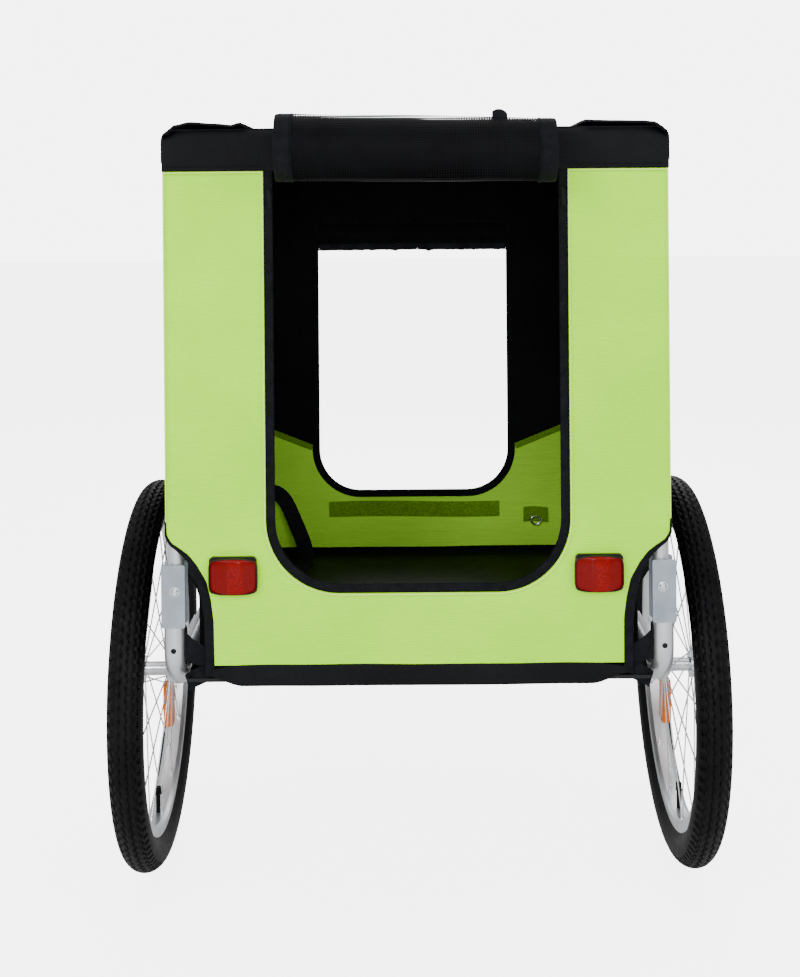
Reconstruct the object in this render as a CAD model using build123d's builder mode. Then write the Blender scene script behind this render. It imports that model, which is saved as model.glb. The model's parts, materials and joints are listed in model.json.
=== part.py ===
"""Folding two-wheeled bicycle trailer with a fabric cabin, built as separate pieces.

Frame: +Z up, ground at z = 0, +Y the way it travels, +X to the right of someone behind it.
The origin is on the ground, midway between the hindmost and the foremost point.
"""
import os
from math import cos, pi, sin

from build123d import *

os.makedirs("parts", exist_ok=True)

# ---- driving dimensions, in millimetres -------------------------------------------------
wheel_d = 500.0            # 20 x 1.75 tyre
tyre_w = 45.0
wheel_out = 53.0           # middle plane of each wheel outside the cabin's side
rim_bead_in = 47.0         # bead seat in from the tread
rim_inner_in = 56.0
rim_w = 26.0
spoke_count = 28
spoke_r = 0.9
spoke_cross = 2            # holes that each spoke leans over on its way to the rim
reflector_ahead = 0.495    # wheel reflector's middle, in rim radii
reflector_low = 0.423
hub_half = 33.0
flange_x = 18.0
flange_r = 17.0
flange_t = 5.0
hub_barrel_r = 9.0
axle_r = 6.0
axle_head_r = 12.0
axle_head_t = 7.7
sleeve_r = 11.0
sleeve_short = 6.0         # carrier sleeve ends this far inside the hub
button_r = 5.0
button_len = 6.0
button_travel = 3.0

cabin_length = 570.0
cabin_half_w = 298.0
cabin_rear = 250.0         # rear face behind the axle
floor_over_axle = 66.0     # underside of the floor above the axle
cabin_height = 652.0
cloth_t = 2.5
board_t = 4.0
cover_t = 2.0

tube_r = 12.5              # base side tubes
tube_wall = 1.5
tube_in = 9.0              # tube's line in from the cabin's side
tube_drop = 3.0            # and below the floor's underside
tube_bend = 38.0
lug_drop = 27.0            # spare hole below the tube's top
lug_hole_r = 3.25
cross_r = 9.5
cross_drop = 10.0
cross_inset = 60.0
hoop_r = 9.5               # upper side frames
hoop_wall = 1.2
hoop_under_roof = 3.5      # top of the hoop below the roof
hoop_bend = 50.0
hoop_tail = 20.0           # tube below its pivot
fold_in = 11.0
fold_up = {"left": 107.0, "right": 109.0}
fold_below = 43.0          # bracket foot below the pivot
fold_above = 31.0
bracket_w = 28.0
bracket_t = 2.5
bolt_r = 3.0
bolt_head_r = 5.0
bolt_head_t = 4.0
washer_r = 6.0
washer_t = 1.2

opening_in = 130.0         # rear door opening, in from the cabin's side
opening_up = 115.0         # and above the floor
opening_corner = 75.0
binding_w = 11.0
binding_t = 4.0
header_h = 48.5
hem_h = 20.0
corner_cut = 48.0          # cut away from each lower corner
corner_top = 170.0
corner_foot = 70.0
corner_curve = ((41.0, 111.0), (21.0, 152.0))  # in from the side, up from the floor

window_in = 150.0          # front opening
window_up = 104.0
window_top_drop = 123.0
window_corner = 65.0
front_hem_in = 169.0       # lower front cloth: its top slopes up to the sides
front_hem_out = 226.0

roll_r = 40.0
roll_short = 15.0          # than the opening's width
roll_drop = 25.0
toggle_x = 97.0
front_roll_r = 35.0
front_roll_long = 20.0     # than the window's width
front_roll_drop = 144.0
skirt_top = 144.0
side_foot_above_pivot = 42.0

reflector_in = {"left": 80.0, "right": 86.0}
reflector_up = 127.0
reflector_w = 52.0
reflector_h = 39.0
reflector_lens_t = 7.0
reflector_rim = 4.0
reflector_base_t = 4.0

drawbar_x = -130.0
drawbar_drop = 18.0        # below the floor's underside
drawbar_tip_up = -24.0
drawbar_tip = 735.0        # end of the tube ahead of the axle
drawbar_bend = 120.0
drawbar_pivot_ahead = 25.0 # pivot ahead of the cabin's front face
drawbar_tail = 20.0
drawbar_plate_w = 40.0
drawbar_plate_t = 3.0
drawbar_bolt_r = 4.0
hitch_pin_r = 4.0
hitch_bore_r = 5.25        # takes the bicycle's rear axle
hitch_yaw_ahead = 16.0
hitch_pitch_ahead = 54.0
hitch_bore_ahead = 98.0
hitch_eye_r = 14.0

flap_len = 262.0
flap_t = 6.0
flap_edges = {"left": (11.0, 101.0), "right": (10.0, 96.0)}  # in from the side
strap_in = 100.0
strap_w = 25.0
strap_t = 2.0
strap_top_up = 84.0
strap_bend_up = 54.0
strap_slope = 59.0
strap_run = 190.0
ring_in = 108.0
ring_patch_up = 64.0
ring_up = 56.0
velcro_in = 165.0
velcro_up = 75.0
velcro_w = 24.0

# ---- clearances -------------------------------------------------------------------------
run_gap = 0.05             # shaft turning in its bore, on the radius
snug = 0.2                 # pieces fixed to each other
soft_gap = 0.3             # cloth beside something on another body
slide_gap = 1.0            # beside a moving tube

# ---- places that follow -----------------------------------------------------------------
wheel_r = wheel_d / 2
axle_z = wheel_r
rim_bead_r = wheel_r - rim_bead_in
rim_inner_r = wheel_r - rim_inner_in
wheel_x = cabin_half_w + wheel_out
sleeve_end_x = wheel_x - hub_half - sleeve_short
floor_z = axle_z + floor_over_axle
roof_z = floor_z + cabin_height
tube_x = cabin_half_w - tube_in
tube_z = floor_z - tube_drop
cross_z = floor_z - cross_drop
fold_x = cabin_half_w - fold_in
fold_z = {side: floor_z + up for side, up in fold_up.items()}
hoop_top_z = roof_z - hoop_under_roof - hoop_r
opening_half = cabin_half_w - opening_in
opening_z = floor_z + opening_up
panel_foot_half = cabin_half_w - corner_cut
corner_top_z = floor_z + corner_top
corner_foot_z = floor_z + corner_foot
window_half = cabin_half_w - window_in
window_z = floor_z + window_up
window_top_z = roof_z - window_top_drop
front_hem_in_z = floor_z + front_hem_in
front_hem_out_z = floor_z + front_hem_out
roll_len = 2 * opening_half - roll_short
roll_z = roof_z - roll_drop
front_roll_len = 2 * window_half + front_roll_long
front_roll_z = roof_z - front_roll_drop
skirt_top_z = floor_z + skirt_top
reflector_x = {"left": reflector_in["left"] - cabin_half_w, "right": cabin_half_w - reflector_in["right"]}
reflector_z = floor_z + reflector_up
drawbar_z = floor_z - drawbar_drop
drawbar_tip_z = floor_z + drawbar_tip_up
rear_reach = cabin_rear + 2 * roll_r + soft_gap
front_reach = drawbar_tip + hitch_bore_ahead + hitch_eye_r
axle_y = (rear_reach - front_reach) / 2
rear_y = axle_y - cabin_rear
front_y = rear_y + cabin_length
hoop_rear_y = rear_y + cloth_t + slide_gap + hoop_r
hoop_front_y = front_y - cloth_t - 8.0 - hoop_r
floor_half = tube_x - tube_r - 2.0 - snug - soft_gap
floor_top_z = floor_z + board_t + cover_t
hem_top_z = floor_z + hem_h
header_z = roof_z - header_h
drawbar_y = front_y + drawbar_pivot_ahead
sides = {"left": -1, "right": 1}
ends = {"rear": hoop_rear_y, "front": hoop_front_y}


def save(piece, label):
    """Label a finished piece and write it under its own name."""
    piece.part.label = label
    export_step(piece.part, f"parts/{label}.step")


def bent_tube(points, bend, outer_r, wall, holes=()):
    """A round tube along straight runs and arcs, drilled through along the given axes."""
    with BuildPart() as tube:
        with BuildLine() as path:
            FilletPolyline(*points, radius=bend)
        with BuildSketch(Plane(origin=path.line @ 0, z_dir=path.line % 0)):
            Circle(outer_r)
            Circle(outer_r - wall, mode=Mode.SUBTRACT)
        sweep(path=path.line)
        for centre, direction, hole_r in holes:
            with Locations(Plane(origin=centre, z_dir=direction)):
                Cylinder(hole_r, 4 * outer_r, mode=Mode.SUBTRACT)
    return tube


def plate_xz(y_low, thickness):
    """Sketch plane facing the rear whose extrusion fills y_low to y_low + thickness."""
    return Plane.XZ.offset(-(y_low + thickness))


# ---- base frame -------------------------------------------------------------------------
for side, s in sides.items():
    stub_top = fold_z[side] - fold_below
    route = [
        (s * tube_x, hoop_rear_y, stub_top),
        (s * tube_x, hoop_rear_y, tube_z),
        (s * tube_x, hoop_front_y, tube_z),
        (s * tube_x, hoop_front_y, stub_top),
    ]
    lug_hole = ((s * tube_x, hoop_rear_y, stub_top - lug_drop), (0, 1, 0), lug_hole_r)
    save(bent_tube(route, tube_bend, tube_r, tube_wall, [lug_hole]), f"side_tube_{side}")

for end, y in (("rear", rear_y + cross_inset), ("front", front_y - cross_inset)):
    with BuildPart() as cross_tube:
        with BuildSketch(Plane.YZ.offset(-tube_x)):
            with Locations((y, cross_z)):
                Circle(cross_r)
                Circle(cross_r - tube_wall, mode=Mode.SUBTRACT)
        extrude(amount=2 * tube_x)
        for s in sides.values():
            with BuildSketch(Plane.XZ.offset(-(y - 2 * tube_r))):
                with Locations((s * tube_x, tube_z)):
                    Circle(tube_r + snug)
                with Locations((s * (tube_x + tube_r), tube_z)):
                    Rectangle(2 * tube_r, 6 * tube_r)
            extrude(amount=-4 * tube_r, mode=Mode.SUBTRACT)
            with BuildSketch(Plane.XZ.offset(-(y - 2 * tube_r))):
                with Locations((s * (tube_x + tube_r - snug), cross_z)):
                    Rectangle(2 * tube_r + 2 * snug, 6 * tube_r)
            extrude(amount=-4 * tube_r, mode=Mode.SUBTRACT)
    save(cross_tube, f"cross_tube_{end}")


# ---- wheels, axles and their carriers ---------------------------------------------------
def turned(name, outline, side_x):
    """A ring turned about the axle from an outline of (across, radius) points."""
    with BuildPart() as ring:
        with BuildSketch(Plane.XY.offset(axle_z)):
            with BuildLine():
                Polyline(*[(side_x + across, axle_y + r) for across, r in outline], close=True)
            make_face()
        revolve(axis=Axis((0, axle_y, axle_z), (1, 0, 0)))
    save(ring, name)


plate_low_z = axle_z - sleeve_r - 7.0
carrier_half = 30.0
carrier_t = 3.0
for side, s in sides.items():
    inner_plate_x = tube_x - tube_r - snug - carrier_t / 2
    outer_plate_x = tube_x + tube_r + snug + carrier_t / 2
    sleeve_start_x = inner_plate_x - carrier_t
    with BuildPart() as axle_bracket:
        for plate_x in (inner_plate_x, outer_plate_x):
            with BuildSketch(Plane.YZ.offset(s * plate_x)):
                with BuildLine():
                    Polyline(
                        (axle_y - carrier_half, tube_z),
                        (axle_y - carrier_half, tube_z - tube_r),
                        (axle_y - sleeve_r - 7.0, axle_z),
                    )
                    ThreePointArc(
                        (axle_y - sleeve_r - 7.0, axle_z),
                        (axle_y, plate_low_z),
                        (axle_y + sleeve_r + 7.0, axle_z),
                    )
                    Polyline(
                        (axle_y + sleeve_r + 7.0, axle_z),
                        (axle_y + carrier_half, tube_z - tube_r),
                        (axle_y + carrier_half, tube_z),
                        (axle_y - carrier_half, tube_z),
                    )
                make_face()
            extrude(amount=carrier_t / 2, both=True)
        with BuildSketch(Plane.YZ.offset(s * sleeve_start_x)):
            with Locations((axle_y, axle_z)):
                Circle(sleeve_r)
        extrude(amount=s * (sleeve_end_x - sleeve_start_x))
        with BuildSketch(Plane.YZ.offset(s * sleeve_start_x)):
            with Locations((axle_y, axle_z)):
                Circle(axle_r + snug)
        extrude(amount=s * (sleeve_end_x - sleeve_start_x), mode=Mode.SUBTRACT)
    save(axle_bracket, f"axle_bracket_{side}")

    head_x = wheel_x + hub_half + soft_gap
    axle_end_x = head_x + axle_head_t
    recess_x = axle_end_x - button_len - 1.0
    with BuildPart() as axle:
        for start_x, end_x, radius in (
            (sleeve_start_x - 2.0, axle_end_x, axle_r),
            (sleeve_end_x + snug, wheel_x - hub_half - soft_gap, axle_r + 3.0),
            (head_x, axle_end_x, axle_head_r),
        ):
            with BuildSketch(Plane.YZ.offset(s * start_x)):
                with Locations((axle_y, axle_z)):
                    Circle(radius)
            extrude(amount=s * (end_x - start_x))
        with BuildSketch(Plane.YZ.offset(s * recess_x)):
            with Locations((axle_y, axle_z)):
                Circle(button_r + run_gap)
        extrude(amount=s * (axle_end_x - recess_x), mode=Mode.SUBTRACT)
    save(axle, f"axle_{side}")

    with BuildPart() as release_button:
        with BuildSketch(Plane.YZ.offset(s * (recess_x + button_travel + soft_gap))):
            with Locations((axle_y, axle_z)):
                Circle(button_r)
        extrude(amount=s * button_len)
        fillet(release_button.edges().sort_by(Axis.X)[0 if s < 0 else -1], 1.0)
    save(release_button, f"release_button_{side}")

    wheel_mid_x = s * wheel_x
    with BuildPart() as hub:
        for start, end, radius in (
            (-hub_half, hub_half, hub_barrel_r),
            (-flange_x - flange_t / 2, -flange_x + flange_t / 2, flange_r),
            (flange_x - flange_t / 2, flange_x + flange_t / 2, flange_r),
            (-hub_half, -hub_half + 7.0, hub_barrel_r + 3.0),
            (hub_half - 7.0, hub_half, hub_barrel_r + 3.0),
        ):
            with BuildSketch(Plane.YZ.offset(wheel_mid_x + start)):
                with Locations((axle_y, axle_z)):
                    Circle(radius)
            extrude(amount=end - start)
        with BuildSketch(Plane.YZ.offset(wheel_mid_x - hub_half)):
            with Locations((axle_y, axle_z)):
                Circle(axle_r + run_gap)
        extrude(amount=2 * hub_half, mode=Mode.SUBTRACT)
    save(hub, f"hub_{side}")

    half = rim_w / 2
    rim_outline = [
        (-half, rim_bead_r + 5.0), (-half, rim_inner_r + 3.0), (-half + 5.0, rim_inner_r),
        (half - 5.0, rim_inner_r), (half, rim_inner_r + 3.0), (half, rim_bead_r + 5.0),
        (half - 2.5, rim_bead_r + 5.0), (half - 2.5, rim_bead_r), (half - 7.0, rim_inner_r + 4.0),
        (7.0 - half, rim_inner_r + 4.0), (2.5 - half, rim_bead_r), (2.5 - half, rim_bead_r + 5.0),
    ]
    turned(f"rim_{side}", rim_outline, wheel_mid_x)

    shoulder = tyre_w / 2
    bead = half - 2.5 - snug
    tyre_outline = [
        (-bead, rim_bead_r), (-bead, rim_bead_r + 5.0 + snug), (-half - 3.0, rim_bead_r + 6.5),
        (-shoulder, rim_bead_r + 20.0), (-shoulder, wheel_r - 17.0), (-shoulder + 5.0, wheel_r - 7.0),
        (-shoulder + 13.0, wheel_r - 1.5), (0, wheel_r),
        (shoulder - 13.0, wheel_r - 1.5), (shoulder - 5.0, wheel_r - 7.0), (shoulder, wheel_r - 17.0),
        (shoulder, rim_bead_r + 20.0), (half + 3.0, rim_bead_r + 6.5), (bead, rim_bead_r + 5.0 + snug),
        (bead, rim_bead_r),
    ]
    turned(f"tyre_{side}", tyre_outline, wheel_mid_x)

    pitch = 2 * pi / spoke_count
    with BuildPart() as spokes:
        for i in range(spoke_count):
            flange_side = 1 if i % 2 else -1
            lean = 1 if i % 4 < 2 else -1
            start_angle = pitch * i
            end_angle = start_angle + lean * spoke_cross * pitch
            start_r = flange_r + snug + spoke_r
            end_r = rim_inner_r - snug
            start_x = wheel_mid_x + flange_side * (flange_x + lean * 1.5)
            end_x = wheel_mid_x + flange_side * 4.0
            start = Vector(
                start_x, axle_y + start_r * cos(start_angle), axle_z + start_r * sin(start_angle)
            )
            end = Vector(end_x, axle_y + end_r * cos(end_angle), axle_z + end_r * sin(end_angle))
            run = end - start
            with BuildSketch(Plane(origin=start, z_dir=run)):
                Circle(spoke_r)
            extrude(amount=run.length - spoke_r)
    save(spokes, f"spokes_{side}")

    with BuildPart() as wheel_reflector:
        with BuildSketch(Plane.YZ.offset(wheel_mid_x - 6.0)):
            with Locations((axle_y + reflector_ahead * rim_inner_r, axle_z - reflector_low * rim_inner_r)):
                RectangleRounded(26.0, 60.0, 5.0)
        extrude(amount=12.0)
    save(wheel_reflector, f"wheel_reflector_{side}")

    with BuildPart() as valve:
        with BuildSketch(Plane.XY.offset(axle_z - rim_inner_r + snug)):
            with Locations((wheel_mid_x, axle_y)):
                Circle(3.0)
        extrude(amount=24.0)
        with BuildSketch(Plane.XY.offset(axle_z - rim_inner_r + snug + 24.0)):
            with Locations((wheel_mid_x, axle_y)):
                Circle(4.0)
        extrude(amount=10.0)
    save(valve, f"valve_{side}")

# ---- folding upper side frames ----------------------------------------------------------
for side, s in sides.items():
    pivot_z = fold_z[side]
    bracket_x = s * tube_x
    with BuildPart() as fold_brackets:
        for y in ends.values():
            half_y = hoop_r + slide_gap + bracket_t
            foot_z = pivot_z - fold_below
            for plate_y in (y - half_y, y + half_y - bracket_t):
                with BuildSketch(plate_xz(plate_y, bracket_t)):
                    with Locations((bracket_x, foot_z + (fold_above + fold_below) / 2)):
                        RectangleRounded(bracket_w, fold_above + fold_below, 3.0)
                extrude(amount=bracket_t)
            with BuildSketch(Plane.XY.offset(foot_z)):
                with Locations((bracket_x, y)):
                    Rectangle(bracket_w - 6.0, 2 * half_y)
            extrude(amount=bracket_t)
            with Locations(Plane(origin=(s * fold_x, y, pivot_z), z_dir=(0, 1, 0))):
                Cylinder(bolt_r + snug, 3 * half_y, mode=Mode.SUBTRACT)
    save(fold_brackets, f"fold_brackets_{side}")

    tail_z = pivot_z - hoop_tail
    route = [
        (s * fold_x, hoop_rear_y, tail_z),
        (s * fold_x, hoop_rear_y, hoop_top_z),
        (s * fold_x, hoop_front_y, hoop_top_z),
        (s * fold_x, hoop_front_y, tail_z),
    ]
    pivots = [((s * fold_x, y, pivot_z), (0, 1, 0), bolt_r + run_gap) for y in ends.values()]
    save(bent_tube(route, hoop_bend, hoop_r, hoop_wall, pivots), f"side_hoop_{side}")

    panel_z = pivot_z + side_foot_above_pivot
    with BuildPart() as side_panel:
        with BuildSketch(Plane.YZ.offset(s * (fold_x + hoop_r + snug))):
            with Locations(((rear_y + front_y) / 2, (panel_z + roof_z - 5.0) / 2)):
                RectangleRounded(
                    cabin_length - 2 * cloth_t - 2 * soft_gap, roof_z - 5.0 - panel_z, 6.0
                )
        extrude(amount=s * cover_t)
    save(side_panel, f"side_panel_{side}")

    with BuildPart() as side_skirt:
        with BuildSketch(Plane.YZ.offset(s * (floor_half - cover_t))):
            with BuildLine():
                Polyline(
                    (hoop_rear_y + tube_r + 14.0, floor_top_z + soft_gap),
                    (hoop_rear_y + tube_r + 14.0, skirt_top_z),
                    (hoop_front_y - tube_r - 14.0, skirt_top_z),
                    (hoop_front_y - tube_r - 14.0, floor_top_z + soft_gap),
                    close=True,
                )
            make_face()
        extrude(amount=s * cover_t)
    save(side_skirt, f"side_skirt_{side}")

with BuildPart() as pivot_bolts:
    for side, s in sides.items():
        for y in ends.values():
            half_y = hoop_r + slide_gap + bracket_t
            for start, length, radius in (
                (-half_y - washer_t, 2 * (half_y + washer_t), bolt_r),
                (-half_y - washer_t, washer_t, washer_r),
                (half_y, washer_t, washer_r),
                (-half_y - washer_t - bolt_head_t, bolt_head_t, bolt_head_r),
                (half_y + washer_t, bolt_head_t - 0.5, bolt_head_r),
            ):
                with BuildSketch(plate_xz(y + start, length)):
                    with Locations((s * fold_x, fold_z[side])):
                        Circle(radius)
                extrude(amount=length)
save(pivot_bolts, "pivot_bolts")

# ---- floor ------------------------------------------------------------------------------
floor_y_low = rear_y + cloth_t + snug
floor_y_high = front_y - cloth_t - snug
for label, low_z, thickness in (
    ("floor_board", floor_z, board_t), ("floor_cover", floor_z + board_t, cover_t)
):
    with BuildPart() as floor_piece:
        with BuildSketch(Plane.XY.offset(low_z)):
            with Locations((0, (floor_y_low + floor_y_high) / 2)):
                Rectangle(2 * floor_half, floor_y_high - floor_y_low)
            for s in sides.values():
                for y in ends.values():
                    with Locations((s * tube_x, y)):
                        Circle(tube_r + 3.0, mode=Mode.SUBTRACT)
        extrude(amount=thickness)
    save(floor_piece, label)

with BuildPart() as frame_loops:
    for s in sides.values():
        for y in (rear_y + cross_inset + 35.0, front_y - cross_inset - 35.0):
            with BuildSketch(plate_xz(y - 12.0, 24.0)):
                with Locations((s * tube_x, tube_z)):
                    Circle(tube_r + snug + 2.0)
                    Circle(tube_r + snug, mode=Mode.SUBTRACT)
            extrude(amount=24.0)
save(frame_loops, "frame_loops")


# ---- cloth of the two ends and the roof -------------------------------------------------
def end_outline(low_z, high_z):
    """An end wall's outline, its lower corners cut away in a curve."""
    with BuildSketch() as outline:
        with BuildLine():
            Polyline((0, low_z), (panel_foot_half, low_z), (panel_foot_half, corner_foot_z))
            Spline(
                (panel_foot_half, corner_foot_z),
                *[(cabin_half_w - inward, floor_z + up) for inward, up in corner_curve],
                (cabin_half_w - 1.0, corner_top_z),
                tangents=((0, 1), (0.75, 1)),
            )
            Polyline(
                (cabin_half_w - 1.0, corner_top_z),
                (cabin_half_w - 1.0, high_z),
                (0, high_z),
                (0, low_z),
            )
        make_face()
        mirror(about=Plane.YZ)
    return outline.sketch


def clear_lower_side(seam, far_z):
    """The region on one side of the seam that slopes across the front wall."""
    with BuildSketch() as region:
        with BuildLine():
            Polyline(*seam, (seam[-1][0], far_z), (0, far_z), close=True)
        make_face()
        mirror(about=Plane.YZ)
    return region.sketch


rear_outline = end_outline(hem_top_z, header_z)
front_outline = end_outline(floor_z, roof_z)
with BuildPart() as rear_panel:
    with BuildSketch(plate_xz(rear_y, cloth_t)):
        add(rear_outline)
        with Locations((0, (opening_z - binding_w + header_z) / 2 + 100.0)):
            RectangleRounded(
                2 * (opening_half + binding_w),
                header_z - opening_z + binding_w + 200.0,
                opening_corner + binding_w,
                mode=Mode.SUBTRACT,
            )
    extrude(amount=cloth_t)
save(rear_panel, "rear_panel")

with BuildPart() as rear_binding:
    with BuildSketch(plate_xz(rear_y + cloth_t - binding_t, binding_t)):
        with Locations((0, (opening_z - binding_w + header_z) / 2 + 100.0)):
            RectangleRounded(
                2 * (opening_half + binding_w),
                header_z - opening_z + binding_w + 200.0,
                opening_corner + binding_w,
            )
        with Locations((0, (opening_z + header_z) / 2 + 100.0)):
            RectangleRounded(
                2 * opening_half,
                header_z - opening_z + 200.0,
                opening_corner,
                mode=Mode.SUBTRACT,
            )
        with Locations((0, header_z + 200.0)):
            Rectangle(4 * opening_half, 400.0, mode=Mode.SUBTRACT)
    extrude(amount=binding_t)
save(rear_binding, "rear_binding")

with BuildPart() as rear_hem:
    with BuildSketch(plate_xz(rear_y, cloth_t)):
        with Locations((0, floor_z + hem_h / 2)):
            Rectangle(2 * panel_foot_half, hem_h)
    extrude(amount=cloth_t)
save(rear_hem, "rear_hem")

with BuildPart() as rear_header:
    with BuildSketch(plate_xz(rear_y, cloth_t)):
        with Locations((0, (header_z + roof_z) / 2)):
            Rectangle(2 * cabin_half_w - 2.0, header_h)
    extrude(amount=cloth_t)
save(rear_header, "rear_header")

front_low_y = front_y - cloth_t
seam = [
    (0, front_hem_in_z),
    (window_half + 12.0, front_hem_in_z),
    (cabin_half_w + 2.0, front_hem_out_z),
]
for label, far_z in (("front_panel_lower", 2 * roof_z), ("front_panel_upper", 0.0)):
    beyond_seam = clear_lower_side(seam, far_z)
    with BuildPart() as front_panel:
        with BuildSketch(plate_xz(front_low_y, cloth_t)):
            add(front_outline)
            with Locations((0, (window_z + window_top_z) / 2)):
                RectangleRounded(
                    2 * window_half, window_top_z - window_z, window_corner, mode=Mode.SUBTRACT
                )
            add(beyond_seam, mode=Mode.SUBTRACT)
        extrude(amount=cloth_t)
    save(front_panel, label)

with BuildPart() as roof_panel:
    with BuildSketch(Plane.XY.offset(roof_z - cloth_t)):
        with Locations((0, (rear_y + front_y) / 2)):
            Rectangle(2 * cabin_half_w - 2.0, cabin_length - 2 * cloth_t - 2 * snug)
    extrude(amount=cloth_t)
save(roof_panel, "roof_panel")

with BuildPart() as roof_flaps:
    for side, (outer_in, inner_in) in flap_edges.items():
        middle_x = sides[side] * (cabin_half_w - (outer_in + inner_in) / 2)
        with BuildSketch(Plane.XY.offset(roof_z + soft_gap)):
            with Locations((middle_x, rear_y + flap_len / 2 - 1.0)):
                RectangleRounded(inner_in - outer_in, flap_len, 8.0)
        extrude(amount=flap_t)
save(roof_flaps, "roof_flaps")


def roll(name, y, z, radius, length):
    """A rolled-up door lying across the trailer."""
    with BuildPart() as rolled:
        with BuildSketch(Plane.YZ.offset(-length / 2)):
            with Locations((y, z)):
                Circle(radius)
        extrude(amount=length)
        fillet(rolled.edges(), 6.0)
    save(rolled, name)


roll("rear_door_roll", rear_y - roll_r - soft_gap, roll_z, roll_r, roll_len)
roll("front_door_roll", front_y + front_roll_r + soft_gap, front_roll_z, front_roll_r, front_roll_len)

with BuildPart() as door_toggle:
    with BuildSketch(Plane.XY.offset(roll_z + roll_r + soft_gap)):
        with Locations((toggle_x, rear_y - roll_r)):
            RectangleRounded(18.0, 12.0, 3.0)
    extrude(amount=7.0)
save(door_toggle, "door_toggle")

# ---- reflectors and what hangs inside ---------------------------------------------------
with BuildPart() as reflector_bases:
    for x in reflector_x.values():
        with BuildSketch(plate_xz(rear_y - reflector_base_t - snug, reflector_base_t)):
            with Locations((x, reflector_z)):
                RectangleRounded(
                    reflector_w + reflector_rim, reflector_h + reflector_rim, 5.0
                )
        extrude(amount=reflector_base_t)
save(reflector_bases, "reflector_bases")

lens_y = rear_y - reflector_base_t - snug - reflector_lens_t
with BuildPart() as reflector_lenses:
    for x in reflector_x.values():
        with BuildSketch(plate_xz(lens_y, reflector_lens_t)):
            with Locations((x, reflector_z)):
                RectangleRounded(reflector_w, reflector_h, 4.0)
        extrude(amount=reflector_lens_t)
    chamfer(reflector_lenses.faces().group_by(Axis.Y)[0].edges(), 2.0)
save(reflector_lenses, "reflector_lenses")

strap_x = strap_in - cabin_half_w
strap_y = front_low_y - soft_gap
strap_low_z = floor_top_z + soft_gap
with BuildPart() as leash_strap:
    with BuildSketch(Plane.YZ.offset(strap_x - strap_w / 2)):
        with BuildLine():
            Polyline(
                (strap_y, floor_z + strap_top_up), (strap_y, floor_z + strap_bend_up),
                (strap_y - strap_slope, strap_low_z), (strap_y - strap_run, strap_low_z),
                (strap_y - strap_run, strap_low_z + strap_t),
                (strap_y - strap_slope - 1.0, strap_low_z + strap_t),
                (strap_y - strap_t, floor_z + strap_bend_up + 1.0),
                (strap_y - strap_t, floor_z + strap_top_up), close=True,
            )
        make_face()
    extrude(amount=strap_w)
save(leash_strap, "leash_strap")

ring_x = cabin_half_w - ring_in
with BuildPart() as leash_ring:
    with BuildSketch(plate_xz(front_low_y - soft_gap - 3.0, 3.0)):
        with Locations((ring_x, floor_z + ring_patch_up)):
            RectangleRounded(38.0, 24.0, 4.0)
    extrude(amount=3.0)
    with Locations(Plane(origin=(ring_x, front_low_y - 4.3, floor_z + ring_up), z_dir=(0, 1, 0))):
        Torus(8.0, 1.5)
save(leash_ring, "leash_ring")

with BuildPart() as velcro_strip:
    with BuildSketch(plate_xz(front_low_y - soft_gap - 1.5, 1.5)):
        with Locations((0, floor_z + velcro_up)):
            Rectangle(2 * (cabin_half_w - velcro_in), velcro_w)
    extrude(amount=1.5)
save(velcro_strip, "velcro_strip")

# ---- drawbar and hitch ------------------------------------------------------------------
bracket_start_y = front_y - cross_inset + cross_r + snug
jaw_gap = tube_r + slide_gap
bracket_end_y = drawbar_y + drawbar_plate_w / 2
with BuildPart() as drawbar_bracket:
    for low_z in (drawbar_z + jaw_gap, drawbar_z - jaw_gap - drawbar_plate_t):
        with BuildSketch(Plane.XY.offset(low_z)):
            with Locations((drawbar_x, (bracket_start_y + drawbar_y) / 2)):
                Rectangle(drawbar_plate_w, drawbar_y - bracket_start_y)
            with Locations((drawbar_x, drawbar_y)):
                Circle(drawbar_plate_w / 2)
                Circle(drawbar_bolt_r + snug, mode=Mode.SUBTRACT)
        extrude(amount=drawbar_plate_t)
    with BuildSketch(Plane.XY.offset(drawbar_z - jaw_gap)):
        with Locations((drawbar_x, bracket_start_y + drawbar_plate_t / 2)):
            Rectangle(drawbar_plate_w, drawbar_plate_t)
    extrude(amount=2 * jaw_gap)
save(drawbar_bracket, "drawbar_bracket")

jaw_low_z = drawbar_z - jaw_gap - drawbar_plate_t
jaw_high_z = drawbar_z + jaw_gap + drawbar_plate_t
with BuildPart() as drawbar_bolt:
    for low_z, high_z, radius in (
        (jaw_low_z - 18.0, jaw_high_z + 0.5, drawbar_bolt_r),
        (jaw_high_z, jaw_high_z + 4.5, 7.0),
    ):
        with BuildSketch(Plane.XY.offset(low_z)):
            with Locations((drawbar_x, drawbar_y)):
                Circle(radius)
        extrude(amount=high_z - low_z)
save(drawbar_bolt, "drawbar_bolt")

with BuildPart() as drawbar_knob:
    with BuildSketch(Plane.XY.offset(jaw_low_z - 16.0)):
        with Locations((drawbar_x, drawbar_y)):
            Circle(15.0)
            with PolarLocations(15.0, 5):
                Circle(5.0)
            Circle(drawbar_bolt_r + run_gap, mode=Mode.SUBTRACT)
    extrude(amount=16.0 - soft_gap)
save(drawbar_knob, "drawbar_knob")

tip_y = axle_y + drawbar_tip
route = [
    (drawbar_x, drawbar_y - drawbar_tail, drawbar_z),
    (drawbar_x, tip_y - 250.0, drawbar_z),
    (drawbar_x, tip_y - 110.0, drawbar_tip_z),
    (drawbar_x, tip_y, drawbar_tip_z),
]
pivot_hole = ((drawbar_x, drawbar_y, drawbar_z), (0, 0, 1), drawbar_bolt_r + run_gap)
save(bent_tube(route, drawbar_bend, tube_r, tube_wall, [pivot_hole]), "drawbar_tube")

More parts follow.
